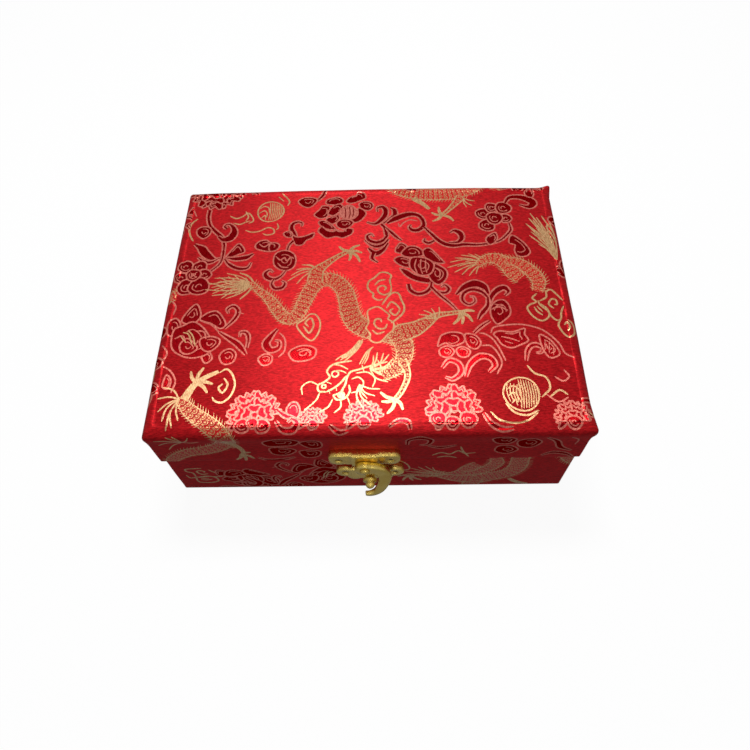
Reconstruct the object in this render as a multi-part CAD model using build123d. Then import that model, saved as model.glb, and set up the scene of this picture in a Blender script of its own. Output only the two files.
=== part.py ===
from build123d import *
import os

# A brocade keepsake box: a padded, cloth-hinged lid over a lined base, shut by a swinging horn hook.
# The box is board inside. Every board is a piece of its own, the brocade is a thin skin wrapped round
# the boards and over the lid's sponge, and satin-covered cards and pads line the inside.
# Frame: +X to the right, +Y to the back, +Z up, origin at the centre of the underside, in millimetres.

# The outside, over the cloth
lid_width = 168.0
lid_depth = 127.0
base_height = 32.0          # floor to base rim
lid_height = 25.0           # lid rim to the top's edge, at the middle of its long sides
rim_overhang = 1.1          # the lid stands this much past the base at the front and sides
rim_gap = 0.3               # between the two rims when shut
corner_radius = 0.7         # upright edges, cloth over board
shoulder_radius = 2.6       # where the padded top turns down into the sides
crown_radius = 2600.0       # the padded top is a very flat dome

# Boards and cloth
brocade = 0.4
wall_board = 3.0
floor_board = 2.5
top_board = 2.5
sponge = 5.0                # at the middle of the long sides
paper = 0.25
paper_inset = 4.0           # the underside paper stops this far short of the edge
under_turn = 14.0           # brocade turned under the floor board

# Lining
satin = 0.3
lining_card = 1.1           # card with its satin
lining_drop = 4.0           # the cards stop this far short of each rim
pad_clearance = 0.4
base_pad_height = 6.0       # at the middle of the long sides
lid_pad_height = 4.5
pad_crown_radius = 1800.0
pad_edge_radius = 1.6
pad_under_turn = 9.0

# Hinge cloths at the back
hinge_reach = 13.0          # outer strip, up and down from the seam
hinge_inset = 3.0           # outer strip, in from each side
inner_hinge_reach = 10.0
inner_hinge_inset = 2.0
fold_depth = 3.1            # how far the inner strip's slack is folded in, taut only with the lid wide open
fold_half_height = 3.6

# Clasp plates
plate_depth = 3.0           # how far each plate stands off the cloth
plate_skin = 0.7
plate_edge_radius = 0.35
lid_plate_x = -1.6          # nailed on by hand, a little off centre
lid_plate_width = 28.0
lid_plate_top = 10.2        # above the lid rim
lid_plate_corner = 2.6
lid_plate_nail_row = 5.7    # above the lid rim
lid_plate_lobe = 3.9        # radius of the lobe round each nail
lid_plate_small_lobe = 2.5
lid_plate_small_lobe_x = 6.4
lid_plate_small_lobe_z = 4.4
middle_width = 10.4         # the raised middle that the hook turns on
middle_rise = 0.5
middle_lift = 0.5           # its foot, above the lid rim
middle_corner = 2.2
base_plate_x = 0.2
base_plate_width = 27.8
base_plate_nail_row = 8.7   # below the base rim
base_plate_lobe = 3.8
base_plate_small_lobe = 3.3
base_plate_small_lobe_x = 6.2
base_plate_small_lobe_z = 12.4
base_plate_middle = 4.6
base_plate_middle_z = 11.6
base_plate_bridge = 3.0     # the band between the nails reaches this far above their row
notch_radius = 0.8          # inner corners between the lobes

# Nails
nail_radius = 0.55
nail_head_radius = 1.3
nail_head_height = 0.6
nail_dome_share = 0.6       # how much of a head's height is rounded
nail_length = 5.4
nail_recess = 0.5           # the head lies this far below the plate's face
nail_clearance = 0.05
nail_cup_radius = 1.5
seat_radius = 2.2           # solid metal round each nail and round the rivet

# Hook and its pivot rivet
pivot_height = 2.7          # above the lid rim
hook_eye_radius = 4.0
hook_thickness = 2.7
hook_width = 6.8            # where the horn leaves the eye
hook_reach = 7.9            # pivot to the outermost point of the horn's middle line
hook_drop = 18.9            # pivot down to its lowest point
hook_lean = 3.3             # its tip stands this much further out than its eye
hook_edge_radius = 0.6
rivet_radius = 1.0
rivet_head_radius = 2.0
rivet_head_height = 0.8
rivet_dome_share = 0.8
rivet_tail_radius = 1.6
rivet_tail_height = 0.7
pivot_clearance = 0.06
axial_clearance = 0.1

# Post on the base plate
post_length = 6.8           # past the base plate
post_neck_radius = 1.9
post_neck_length = 2.7
post_collar_radius = 2.9
post_collar_length = 1.3
post_collar_round_share = 0.35
post_groove_radius = 1.5
post_groove_length = 0.5
post_nose_radius = 1.9
post_tip_radius = 0.7
post_tail_radius = 1.5

overrun = 1.0               # how far a cut runs past the face it opens

# The horn's middle line from the pivot: sideways share of the reach, downward share of the drop,
# share of the lean, share of the width and share of the thickness
horn_shares = [
    (0.0, 0.0, 0.0, 1.0, 1.0),
    (0.43, 0.016, 0.0, 0.96, 1.0),
    (0.83, 0.138, 0.05, 0.88, 1.0),
    (1.0, 0.35, 0.20, 0.77, 0.98),
    (0.91, 0.615, 0.46, 0.65, 0.92),
    (0.70, 0.857, 0.70, 0.53, 0.84),
    (0.37, 1.0, 0.86, 0.41, 0.75),
    (-0.02, 0.968, 1.0, 0.27, 0.65),
]

# Places that follow from the sizes
base_width = lid_width - 2 * rim_overhang
base_depth = lid_depth - rim_overhang
back_y = base_depth / 2
base_front_y = -base_depth / 2
lid_front_y = back_y - lid_depth
lid_rim = base_height + rim_gap
seam_z = base_height + rim_gap / 2
shoulder_z = lid_rim + lid_height
wall = brocade + wall_board
deep_wall = wall + brocade
floor_board_z = paper + brocade
floor_z = floor_board_z + floor_board
top_board_z = shoulder_z - brocade - sponge
ceiling_z = top_board_z - top_board
base_inside = base_width - 2 * deep_wall
lid_inside = lid_width - 2 * deep_wall
lid_face = Plane(origin=(0, lid_front_y, 0), x_dir=(1, 0, 0), z_dir=(0, -1, 0))
base_face = Plane(origin=(0, base_front_y, 0), x_dir=(1, 0, 0), z_dir=(0, -1, 0))
lid_nail_offset = lid_plate_width / 2 - lid_plate_lobe
lid_nail_z = lid_rim + lid_plate_nail_row
base_nail_offset = base_plate_width / 2 - base_plate_lobe
base_nail_z = base_height - base_plate_nail_row
pivot_z = lid_rim + pivot_height
post_z = base_nail_z         # the post stands in the nail row
hook_back = plate_depth + middle_rise + axial_clearance


def block(x_size, y_low, y_high, z_low, z_high, x_mid=0.0):
    """A box by its width about x_mid and its low and high faces in Y and Z."""
    centre = (x_mid, (y_low + y_high) / 2, (z_low + z_high) / 2)
    return Pos(*centre) * Box(x_size, y_high - y_low, z_high - z_low)


def domed(x_size, y_low, y_high, seat_z, edge_z, dome_radius, edge_radius):
    """A block from seat_z whose far face is a very flat dome with a rounded edge.

    The dome stands at edge_z at the middle of its long sides. It domes downwards if edge_z is the lower.
    """
    half_y = (y_high - y_low) / 2
    way = 1 if edge_z > seat_z else -1
    rise = dome_radius - (dome_radius**2 - half_y**2) ** 0.5
    peak_z = edge_z + way * rise
    body = block(x_size, y_low, y_high, min(seat_z, peak_z), max(seat_z, peak_z))
    body = body & (Pos(0, (y_low + y_high) / 2, peak_z - way * dome_radius) * Sphere(dome_radius))
    dome = body.faces().filter_by(GeomType.SPHERE)[0]
    return fillet(dome.edges(), edge_radius)


def walls(x_size, y_low, y_high, thick, z_low, z_high):
    """Front, back, left and right boards round a rectangle. Front and back run its whole width."""
    side_mid = (x_size - thick) / 2
    return {
        "front": block(x_size, y_low, y_low + thick, z_low, z_high),
        "back": block(x_size, y_high - thick, y_high, z_low, z_high),
        "left": block(thick, y_low + thick, y_high - thick, z_low, z_high, -side_mid),
        "right": block(thick, y_low + thick, y_high - thick, z_low, z_high, side_mid),
    }


def on_face(face, x, z, forward=0.0):
    """A place on the front of the lid or base, moved forward off it. Its own Z axis points out of the box."""
    return face * Pos(x, z, forward)


# Nails
def nail_places(x_mid, offset_x, z):
    return [(x_mid - offset_x, z), (x_mid + offset_x, z)]


lid_nails_at = nail_places(lid_plate_x, lid_nail_offset, lid_nail_z)
base_nails_at = nail_places(base_plate_x, base_nail_offset, base_nail_z)
nail_seat = plate_depth - nail_recess - nail_head_height
nail_reach = nail_length - nail_seat


def nail_holes(face, places):
    """Holes for the nails' shanks in plate, cloth and board, as deep as the nails."""
    length = plate_depth + nail_reach
    hole = Cylinder(nail_radius + nail_clearance, length, align=(Align.CENTER, Align.CENTER, Align.MAX))
    return [on_face(face, x, z, plate_depth) * hole for x, z in places]


def nails(face, places):
    """Round-headed nails whose heads lie a little below the plate's face."""
    shank = Cylinder(nail_radius, nail_length, align=(Align.CENTER, Align.CENTER, Align.MAX))
    head = Cylinder(nail_head_radius, nail_head_height, align=(Align.CENTER, Align.CENTER, Align.MIN))
    head = fillet(head.edges().sort_by(Axis.Z)[-1], nail_head_height * nail_dome_share)
    return Compound([on_face(face, x, z, nail_seat) * (shank + head) for x, z in places])


# Boards, cloth and paper
def base_boards():
    front, back = base_front_y + brocade, back_y - brocade
    x_size = base_width - 2 * brocade
    made = walls(x_size, front, back, wall_board, floor_z, base_height - brocade)
    parts = {f"base_{side}_wall": board for side, board in made.items()}
    parts["base_front_wall"] -= nail_holes(base_face, base_nails_at)
    parts["base_floor_board"] = block(x_size, front, back, floor_board_z, floor_z)
    return parts


def base_brocade():
    """The cloth round the base: up the outside, over the rim, down the inside, and turned under the floor."""
    outer = block(base_width, base_front_y, back_y, paper, base_height)
    outer = fillet(outer.edges().filter_by(Axis.Z), corner_radius)
    core = block(base_width - 2 * brocade, base_front_y + brocade, back_y - brocade,
                 floor_board_z, base_height - brocade)
    inside = block(base_width - 2 * wall, base_front_y + wall, back_y - wall, floor_z, base_height)
    cavity = block(base_inside, base_front_y + deep_wall, back_y - deep_wall, floor_z, base_height + overrun)
    window = block(base_width - 2 * under_turn, base_front_y + under_turn, back_y - under_turn,
                   paper - overrun, floor_board_z)
    cloth = (outer - core - window) + inside
    return cloth - cavity - nail_holes(base_face, base_nails_at)


def underside_paper():
    """The sheet that closes the underside: it laps the turned-in brocade and lies on the board inside it."""
    lapped = block(base_width - 2 * paper_inset, base_front_y + paper_inset, back_y - paper_inset, 0, paper)
    middle = block(base_width - 2 * under_turn, base_front_y + under_turn, back_y - under_turn,
                   0, floor_board_z)
    return lapped + middle


def lid_boards():
    front, back = lid_front_y + brocade, back_y - brocade
    x_size = lid_width - 2 * brocade
    made = walls(x_size, front, back, wall_board, lid_rim + brocade, ceiling_z)
    parts = {f"lid_{side}_wall": board for side, board in made.items()}
    parts["lid_front_wall"] -= nail_holes(lid_face, lid_nails_at)
    parts["lid_top_board"] = block(x_size, front, back, ceiling_z, top_board_z)
    return parts


def lid_sponge():
    return lid_form(brocade, top_board_z)


def lid_form(inset, low_z):
    """The lid's outer form less inset of cloth, from low_z up."""
    return domed(lid_width - 2 * inset, lid_front_y + inset, back_y - inset, low_z, shoulder_z - inset,
                 crown_radius - inset, shoulder_radius - inset)


def lid_brocade():
    """The cloth over the sponge, down the four sides, round the rim and up the inside."""
    core = block(lid_width - 2 * brocade, lid_front_y + brocade, back_y - brocade,
                 lid_rim + brocade, top_board_z)
    inside = block(lid_width - 2 * wall, lid_front_y + wall, back_y - wall, lid_rim, ceiling_z)
    cavity = block(lid_inside, lid_front_y + deep_wall, back_y - deep_wall, lid_rim - overrun, ceiling_z)
    cloth = (lid_form(0, lid_rim) - lid_sponge() - core) + inside
    return cloth - cavity - nail_holes(lid_face, lid_nails_at)


# Linings and pads
def lining(prefix, x_size, front_y, low_z, high_z):
    """Four satin-covered cards. The back one lies on the inner hinge cloth."""
    cards = walls(x_size, front_y + deep_wall, back_y - deep_wall - satin, lining_card, low_z, high_z)
    return {f"{prefix}_{side}_lining": card for side, card in cards.items()}


def pad(prefix, x_size, front_y, seat_z, edge_z):
    """A foam pad inside its cards, and the satin that wraps it and is turned over its back."""
    way = 1 if edge_z > seat_z else -1
    room = lining_card + pad_clearance
    width = x_size - 2 * room
    front, back = front_y + deep_wall + room, back_y - deep_wall - satin - room
    outer = domed(width, front, back, seat_z, edge_z, pad_crown_radius, pad_edge_radius)
    foam = domed(width - 2 * satin, front + satin, back - satin, seat_z + way * satin, edge_z - way * satin,
                 pad_crown_radius - satin, pad_edge_radius - satin)
    faces = sorted((seat_z - way * overrun, seat_z + way * satin))
    window = block(width - 2 * pad_under_turn, front + pad_under_turn, back - pad_under_turn, *faces)
    return {f"{prefix}_pad_foam": foam, f"{prefix}_pad_satin": outer - foam - window}


# Hinge cloths
def hinge_cloth():
    """The strip of brocade glued over both back walls, which is the hinge."""
    return block(base_width - 2 * hinge_inset, back_y, back_y + brocade,
                 seam_z - hinge_reach, seam_z + hinge_reach)


def inner_hinge_cloth():
    """The lining's own hinge strip. The slack that lets the lid open is folded into the box when shut."""
    face_y = back_y - deep_wall
    width = base_inside - 2 * inner_hinge_inset
    radius = (fold_half_height**2 + fold_depth**2) / (2 * fold_depth)
    bend = Pos(0, face_y - fold_depth + radius, seam_z) * Rot(0, 90, 0)
    fold = bend * Cylinder(radius, width) - bend * Cylinder(radius - satin, width + overrun)
    foot, head = seam_z - inner_hinge_reach, seam_z + inner_hinge_reach
    fold = fold & block(width, face_y - fold_depth - overrun, face_y, foot, head)
    low_end, high_end = seam_z - fold_half_height + satin, seam_z + fold_half_height - satin
    return fold + block(width, face_y - satin, face_y, foot, low_end) + block(
        width, face_y - satin, face_y, high_end, head)


# Clasp
def disc(x, z, radius):
    return Pos(x, z) * Circle(radius)


def band(x_mid, width, low_z, high_z):
    return Pos(x_mid, (low_z + high_z) / 2) * Rectangle(width, high_z - low_z)


def softened(outline):
    """Round every inner corner between the lobes, and leave the rest as it is."""
    return offset(offset(outline, notch_radius, kind=Kind.ARC), -notch_radius, kind=Kind.ARC)


def shell_plate(face, outline, seats, depth):
    """A plate hollow at the back, with solid seats for its nails and rivet, and a softened front edge."""
    solid = face * extrude(outline, depth)
    front = solid.faces().sort_by(Axis.Y)[0]
    solid = fillet(front.edges(), plate_edge_radius)
    hollow = offset(outline, -plate_skin, kind=Kind.INTERSECTION)
    for x, z in seats:
        hollow -= disc(x, z, seat_radius)
    return solid - face * extrude(hollow, depth - plate_skin)


def nail_cups(face, places):
    """The cups that the nails' heads sit in."""
    depth = nail_recess + nail_head_height
    cup = Cylinder(nail_cup_radius, depth + overrun, align=(Align.CENTER, Align.CENTER, Align.MIN))
    return [on_face(face, x, z, plate_depth - depth) * cup for x, z in places]


def lid_clasp():
    """The lid's plate with a lobe round each nail and a raised middle, its nails, and the hook's rivet."""
    outline = band(lid_plate_x, lid_plate_width, lid_nail_z, lid_rim + lid_plate_top)
    top = outline.vertices().group_by(Axis.Y)[-1]
    outline = fillet(top, lid_plate_corner)
    for side in (-1, 1):
        outline += disc(lid_plate_x + side * lid_nail_offset, lid_nail_z, lid_plate_lobe)
        outline += disc(lid_plate_x + side * lid_plate_small_lobe_x, lid_rim + lid_plate_small_lobe_z,
                        lid_plate_small_lobe)
    middle = band(lid_plate_x, middle_width, lid_rim + middle_lift, lid_rim + lid_plate_top)
    middle = fillet(middle.vertices().group_by(Axis.Y)[0], middle_corner)
    outline = softened(outline + middle)
    plate = shell_plate(lid_face, outline, lid_nails_at + [(lid_plate_x, pivot_z)], plate_depth)
    raised = lid_face * extrude(middle, plate_depth + middle_rise)
    raised = fillet(raised.faces().sort_by(Axis.Y)[0].edges(), plate_edge_radius)
    plate_front_y = lid_front_y - plate_depth
    raised &= block(lid_plate_width, plate_front_y - overrun, plate_front_y + plate_skin,
                    lid_rim, lid_rim + lid_plate_top, lid_plate_x)
    pivot = on_face(lid_face, lid_plate_x, pivot_z)
    bore = pivot * Cylinder(rivet_radius, 2 * hook_back)
    tail_room = pivot * Cylinder(rivet_tail_radius, 2 * rivet_tail_height)
    plate = plate + raised - bore - tail_room
    plate = plate - nail_cups(lid_face, lid_nails_at) - nail_holes(lid_face, lid_nails_at)

    tail = Cylinder(rivet_tail_radius, rivet_tail_height, align=(Align.CENTER, Align.CENTER, Align.MIN))
    shank_length = hook_back + hook_thickness + axial_clearance
    shank = Cylinder(rivet_radius, shank_length, align=(Align.CENTER, Align.CENTER, Align.MIN))
    head = Cylinder(rivet_head_radius, rivet_head_height, align=(Align.CENTER, Align.CENTER, Align.MIN))
    head = fillet(head.edges().sort_by(Axis.Z)[-1], rivet_head_height * rivet_dome_share)
    rivet = tail + shank + Pos(0, 0, shank_length) * head
    return {"lid_plate": plate, "lid_plate_nails": nails(lid_face, lid_nails_at),
            "hook_rivet": pivot * rivet}


def base_clasp():
    """The base's plate, lobed like the lid's, with the turned post that the hook goes round."""
    outline = disc(base_plate_x, base_height - base_plate_middle_z, base_plate_middle)
    outline += band(base_plate_x, 2 * base_nail_offset, post_z, base_nail_z + base_plate_bridge)
    for side in (-1, 1):
        outline += disc(base_plate_x + side * base_nail_offset, base_nail_z, base_plate_lobe)
        outline += disc(base_plate_x + side * base_plate_small_lobe_x, base_height - base_plate_small_lobe_z,
                        base_plate_small_lobe)
    outline = softened(outline)
    plate = shell_plate(base_face, outline, base_nails_at + [(base_plate_x, post_z)], plate_depth)
    plate = plate - nail_cups(base_face, base_nails_at) - nail_holes(base_face, base_nails_at)
    tail_hole = Cylinder(post_tail_radius, 2 * (plate_depth + overrun))
    plate -= on_face(base_face, base_plate_x, post_z) * tail_hole
    return {"base_plate": plate, "base_plate_nails": nails(base_face, base_nails_at),
            "clasp_post": clasp_post()}


def clasp_post():
    """A turned post: neck, collar, groove and a rounded nose, with a tail riveted in the plate."""
    collar_end = post_neck_length + post_collar_length
    nose_start = collar_end + post_groove_length
    edge = post_collar_length * post_collar_round_share
    with BuildSketch(Plane.XZ) as profile:
        with BuildLine():
            Polyline((0, -plate_depth), (post_tail_radius, -plate_depth), (post_tail_radius, 0),
                     (post_neck_radius, 0), (post_neck_radius, post_neck_length),
                     (post_collar_radius - edge, post_neck_length))
            JernArc((post_collar_radius - edge, post_neck_length), (1, 0), edge, 90)
            Line((post_collar_radius, post_neck_length + edge), (post_collar_radius, collar_end - edge))
            JernArc((post_collar_radius, collar_end - edge), (0, 1), edge, 90)
            Polyline((post_collar_radius - edge, collar_end), (post_groove_radius, collar_end),
                     (post_groove_radius, nose_start), (post_nose_radius, nose_start + post_groove_length))
            tip = (post_tip_radius, post_length)
            TangentArc((post_nose_radius, nose_start + post_groove_length), tip, tangent=(0, 1))
            Polyline(tip, (0, post_length), (0, -plate_depth))
        make_face()
    turned = revolve(profile.sketch, Axis.Z)
    return on_face(base_face, base_plate_x, post_z, plate_depth) * turned


def clasp_hook():
    """The horn: an eye on the rivet, and a tapering crescent that curls round the post and leans outwards."""
    middle_forward = hook_back + hook_thickness / 2
    centre = [Vector(lid_plate_x + across * hook_reach,
                     lid_front_y - middle_forward - lean * hook_lean,
                     pivot_z - down * hook_drop) for across, down, lean, _, _ in horn_shares]
    sections = []
    for index, (_, _, _, width_share, thickness_share) in enumerate(horn_shares):
        before, after = centre[max(index - 1, 0)], centre[min(index + 1, len(centre) - 1)]
        way = (after - before).normalized()
        section = RectangleRounded(width_share * hook_width, thickness_share * hook_thickness,
                                   hook_edge_radius * thickness_share)
        sections.append(Plane(origin=centre[index], x_dir=way.cross(Vector(0, 1, 0)), z_dir=way) * section)
    horn = loft(sections)
    eye = Cylinder(hook_eye_radius, hook_thickness)
    eye = fillet(eye.edges(), hook_edge_radius)
    eye = on_face(lid_face, lid_plate_x, pivot_z, middle_forward) * eye
    bore = Cylinder(rivet_radius + pivot_clearance, hook_thickness + 2 * overrun)
    return horn + eye - on_face(lid_face, lid_plate_x, pivot_z, middle_forward) * bore


def all_parts():
    parts = {}
    parts.update(base_boards())
    parts["base_brocade"] = base_brocade()
    parts["underside_paper"] = underside_paper()
    parts.update(lining("base", base_inside, base_front_y, floor_z, base_height - lining_drop))
    parts.update(pad("base", base_inside, base_front_y, floor_z, floor_z + base_pad_height))
    parts.update(lid_boards())
    parts["lid_sponge"] = lid_sponge()
    parts["lid_brocade"] = lid_brocade()
    parts.update(lining("lid", lid_inside, lid_front_y, lid_rim + lining_drop, ceiling_z))
    parts.update(pad("lid", lid_inside, lid_front_y, ceiling_z, ceiling_z - lid_pad_height))
    parts["hinge_cloth"] = hinge_cloth()
    parts["inner_hinge_cloth"] = inner_hinge_cloth()
    parts.update(lid_clasp())
    parts.update(base_clasp())
    parts["clasp_hook"] = clasp_hook()
    return parts


def main():
    os.makedirs("parts", exist_ok=True)
    for name, shape in all_parts().items():
        export_step(shape, os.path.join("parts", f"{name}.step"))


main()
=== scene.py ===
import math
import bmesh
import bpy
import numpy as np
from mathutils import Matrix, Vector, noise
from mathutils.geometry import delaunay_2d_cdt


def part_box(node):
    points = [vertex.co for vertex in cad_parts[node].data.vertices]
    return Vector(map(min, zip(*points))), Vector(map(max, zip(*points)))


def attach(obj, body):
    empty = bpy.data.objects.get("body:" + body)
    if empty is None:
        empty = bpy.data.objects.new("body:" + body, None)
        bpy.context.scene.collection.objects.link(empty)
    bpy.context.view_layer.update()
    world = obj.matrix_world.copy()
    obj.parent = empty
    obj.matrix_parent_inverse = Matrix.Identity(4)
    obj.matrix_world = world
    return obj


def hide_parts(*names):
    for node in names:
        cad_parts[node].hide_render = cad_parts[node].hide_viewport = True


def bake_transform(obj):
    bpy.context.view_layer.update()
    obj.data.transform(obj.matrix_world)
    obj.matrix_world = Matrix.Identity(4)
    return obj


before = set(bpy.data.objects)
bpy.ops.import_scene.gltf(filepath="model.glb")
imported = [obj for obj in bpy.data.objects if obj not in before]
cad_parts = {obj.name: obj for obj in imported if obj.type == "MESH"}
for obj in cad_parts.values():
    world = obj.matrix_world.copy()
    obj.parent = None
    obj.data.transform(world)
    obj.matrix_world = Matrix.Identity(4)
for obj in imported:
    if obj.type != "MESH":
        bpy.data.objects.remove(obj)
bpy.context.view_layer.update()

mm = 0.001
scene = bpy.context.scene


def newObject(name, data):
    obj = bpy.data.objects.new(name, data)
    scene.collection.objects.link(obj)
    return obj


def boxOf(node):
    # a node's low and high corners in millimetres
    return (np.array(corner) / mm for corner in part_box(node))


def smoothShaded(mesh):
    mesh.polygons.foreach_set("use_smooth", [True] * len(mesh.polygons))


# what the photograph's camera saw
cameraSet = {
    "place": (7.56, -167.25, 270.1),  # mm
    "yaw": -2.04,
    "pitch": 59.04,
    "roll": -2.56,
    "lens": 30.83,
    "film": 36,
    "near": 0.01,
}


def makeCamera():
    yaw, pitch, roll = (math.radians(cameraSet[k]) for k in ("yaw", "pitch", "roll"))
    ahead = Vector((math.sin(yaw) * math.cos(pitch), math.cos(yaw) * math.cos(pitch), -math.sin(pitch)))
    right = Vector((math.cos(yaw), -math.sin(yaw), 0))
    up = right.cross(ahead)
    rolledRight = right * math.cos(roll) + up * math.sin(roll)
    rolledUp = up * math.cos(roll) - right * math.sin(roll)
    data = bpy.data.cameras.new("photoCamera")
    data.lens = cameraSet["lens"]
    data.sensor_width = cameraSet["film"]
    data.clip_start = cameraSet["near"]
    camera = newObject("photoCamera", data)
    turn = Matrix((rolledRight, rolledUp, -ahead)).transposed().to_4x4()
    camera.matrix_world = Matrix.Translation(Vector(cameraSet["place"]) * mm) @ turn
    scene.camera = camera


# node trees: an input is given a constant, or the output that feeds it
def feed(tree, node, inputs):
    for key, value in inputs.items():
        if isinstance(value, bpy.types.NodeSocket):
            tree.links.new(value, node.inputs[key])
        else:
            node.inputs[key].default_value = value
    return node


def addNode(tree, kind, inputs=None, **settings):
    node = tree.nodes.new(kind)
    for key, value in settings.items():
        setattr(node, key, value)
    return feed(tree, node, inputs or {})


def mathNode(tree, operation, *terms):
    return addNode(tree, "ShaderNodeMath", dict(enumerate(terms)), operation=operation).outputs[0]


def mixColour(tree, factor, a, b):
    return addNode(tree, "ShaderNodeMix", {0: factor, 6: a, 7: b}, data_type="RGBA").outputs[2]


def emptyTree(owner):
    owner.use_nodes = True
    owner.node_tree.nodes.clear()
    return owner.node_tree


def newGroup(name, kind, inputs, outputs):
    # a node group with its sockets, each name with its type
    group = bpy.data.node_groups.new(name, kind)
    for way, sockets in (("OUTPUT", outputs), ("INPUT", inputs)):
        for label, socket in sockets.items():
            group.interface.new_socket(label, in_out=way, socket_type="NodeSocket" + socket)
    return group, group.nodes.new("NodeGroupInput").outputs, group.nodes.new("NodeGroupOutput")


# lamps, world and floor
lightSet = {
    "world": (0.93, 0.95, 1.0),
    "worldStrength": 0.17,
    "roomShine": 0.6,     # how bright the room and the floor look in metal and satin
    "floorShine": 0.24,
    "floorGrey": 0.25,
    "floorWhite": 0.94,   # how far the camera sees past the object's shadow on the floor
    "floorHalf": 3.0,
    "aim": (0, 0, 0.03),
    "top": {"size": (0.24, 0.15), "place": (-0.035, 0.22, 0.68), "watts": 3.9},
    "front": {"size": (0.4, 0.2), "place": (0.08, -0.55, 0.6), "watts": 0.8},
}


def byRay(tree, plain, shiny, white):
    # white to the camera and through glass, shiny in metal and satin, plain to the rest
    path = addNode(tree, "ShaderNodeLightPath").outputs
    rest = addNode(tree, "ShaderNodeMixShader", {0: path["Is Glossy Ray"], 1: plain, 2: shiny})
    seen = mathNode(tree, "MAXIMUM", path["Is Camera Ray"], path["Is Transmission Ray"])
    return addNode(tree, "ShaderNodeMixShader", {0: seen, 1: rest.outputs[0], 2: white}).outputs[0]


def makeWorld():
    world = bpy.data.worlds.new("softRoom")
    scene.world = world
    tree = emptyTree(world)
    glows = []
    for colour, strength in ((lightSet["world"], lightSet["worldStrength"]),
                             (lightSet["world"], lightSet["roomShine"]), ((1, 1, 1), 1.0)):
        glow = addNode(tree, "ShaderNodeBackground", {"Color": (*colour, 1), "Strength": strength})
        glows.append(glow.outputs[0])
    addNode(tree, "ShaderNodeOutputWorld", {0: byRay(tree, *glows)})


def areaLamp(name):
    data = bpy.data.lights.new(name, "AREA")
    values = lightSet[name]
    data.shape = "RECTANGLE"
    data.size, data.size_y = values["size"]
    data.energy = values["watts"]
    lamp = newObject(name, data)
    lamp.location = values["place"]
    aim = Vector(lightSet["aim"]) - Vector(values["place"])
    lamp.rotation_euler = aim.to_track_quat("-Z", "Y").to_euler()


def makeFloor():
    material = bpy.data.materials.new("paleFloor")
    tree = emptyTree(material)
    grey = lightSet["floorGrey"]
    plain = addNode(tree, "ShaderNodeBsdfDiffuse", {"Color": (grey, grey, grey, 1)})
    shiny = addNode(tree, "ShaderNodeEmission", {"Strength": lightSet["floorShine"]})
    paper = addNode(tree, "ShaderNodeBsdfDiffuse", {"Color": (1, 1, 1, 1)})
    glow = addNode(tree, "ShaderNodeEmission", {"Strength": 1})
    white = addNode(tree, "ShaderNodeMixShader",
                    {0: lightSet["floorWhite"], 1: paper.outputs[0], 2: glow.outputs[0]})
    seen = byRay(tree, plain.outputs[0], shiny.outputs[0], white.outputs[0])
    addNode(tree, "ShaderNodeOutputMaterial", {0: seen})
    mesh = bpy.data.meshes.new("floor")
    half = lightSet["floorHalf"]
    corners = [(x * half, y * half, 0) for x, y in ((-1, -1), (1, -1), (1, 1), (-1, 1))]
    mesh.from_pydata(corners, [], [(0, 1, 2, 3)])
    mesh.materials.append(material)
    newObject("floor", mesh)


makeCamera()
makeWorld()
areaLamp("top")
areaLamp("front")
makeFloor()
scene.view_settings.view_transform = "Standard"
print("camera, lamps and floor")


# colours as a person picks them, turned to what the shader needs
def rgb(*colour):
    return (*(((c / 255 + 0.055) / 1.055) ** 2.4 if c > 10 else c / 255 / 12.92 for c in colour), 1)


def newMaterial(name):
    material = bpy.data.materials.new(name)
    material.use_nodes = True
    return material, material.node_tree, material.node_tree.nodes["Principled BSDF"]


# woven threads: fine rows across the cloth, made of floats, and a shade of its own for each float
weaveSet = {"slide": 0.37, "flatness": 0.35, "depth": 0.05, "gleam": 0.75}


def weaveGroup():
    group, source, out = newGroup("weave", "ShaderNodeTree",
                                  {"Place": "Vector", "Rows per mm": "Float", "Float length": "Float"},
                                  {"Height": "Float", "Shade": "Float"})

    def rounded(share):
        return mathNode(group, "SINE", mathNode(group, "MULTIPLY", share, math.pi))

    split = addNode(group, "ShaderNodeSeparateXYZ", {0: source["Place"]}).outputs
    rows = mathNode(group, "MULTIPLY", split[1], source["Rows per mm"])
    number = mathNode(group, "FLOOR", rows)
    slide = mathNode(group, "MULTIPLY", number, weaveSet["slide"])
    along = mathNode(group, "ADD", mathNode(group, "DIVIDE", split[0], source["Float length"]), slide)
    roundRow = rounded(mathNode(group, "FRACT", rows))
    roundFloat = mathNode(group, "POWER", rounded(mathNode(group, "FRACT", along)), weaveSet["flatness"])
    cell = addNode(group, "ShaderNodeCombineXYZ", {0: mathNode(group, "FLOOR", along), 1: number})
    shade = addNode(group, "ShaderNodeTexWhiteNoise", {"Vector": cell.outputs[0]}, noise_dimensions="2D")
    feed(group, out, {"Height": mathNode(group, "MULTIPLY", roundRow, roundFloat),
                      "Shade": shade.outputs["Value"]})
    return group


weave = weaveGroup()


def placeWeave(tree, rowsPerMm, floatLength, across=False):
    place = addNode(tree, "ShaderNodeUVMap", uv_map="cloth").outputs[0]
    if across:
        place = addNode(tree, "ShaderNodeMapping", {0: place, "Rotation": (0, 0, math.pi / 2)}).outputs[0]
    return addNode(tree, "ShaderNodeGroup", node_tree=weave, inputs={
        "Place": place, "Rows per mm": rowsPerMm, "Float length": floatLength}).outputs


def bumpFrom(tree, height, shader, strength, distance):
    bump = addNode(tree, "ShaderNodeBump", {
        "Strength": strength, "Distance": distance * mm, "Height": height})
    feed(tree, shader, {"Normal": bump.outputs[0]})
    return bump


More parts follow.
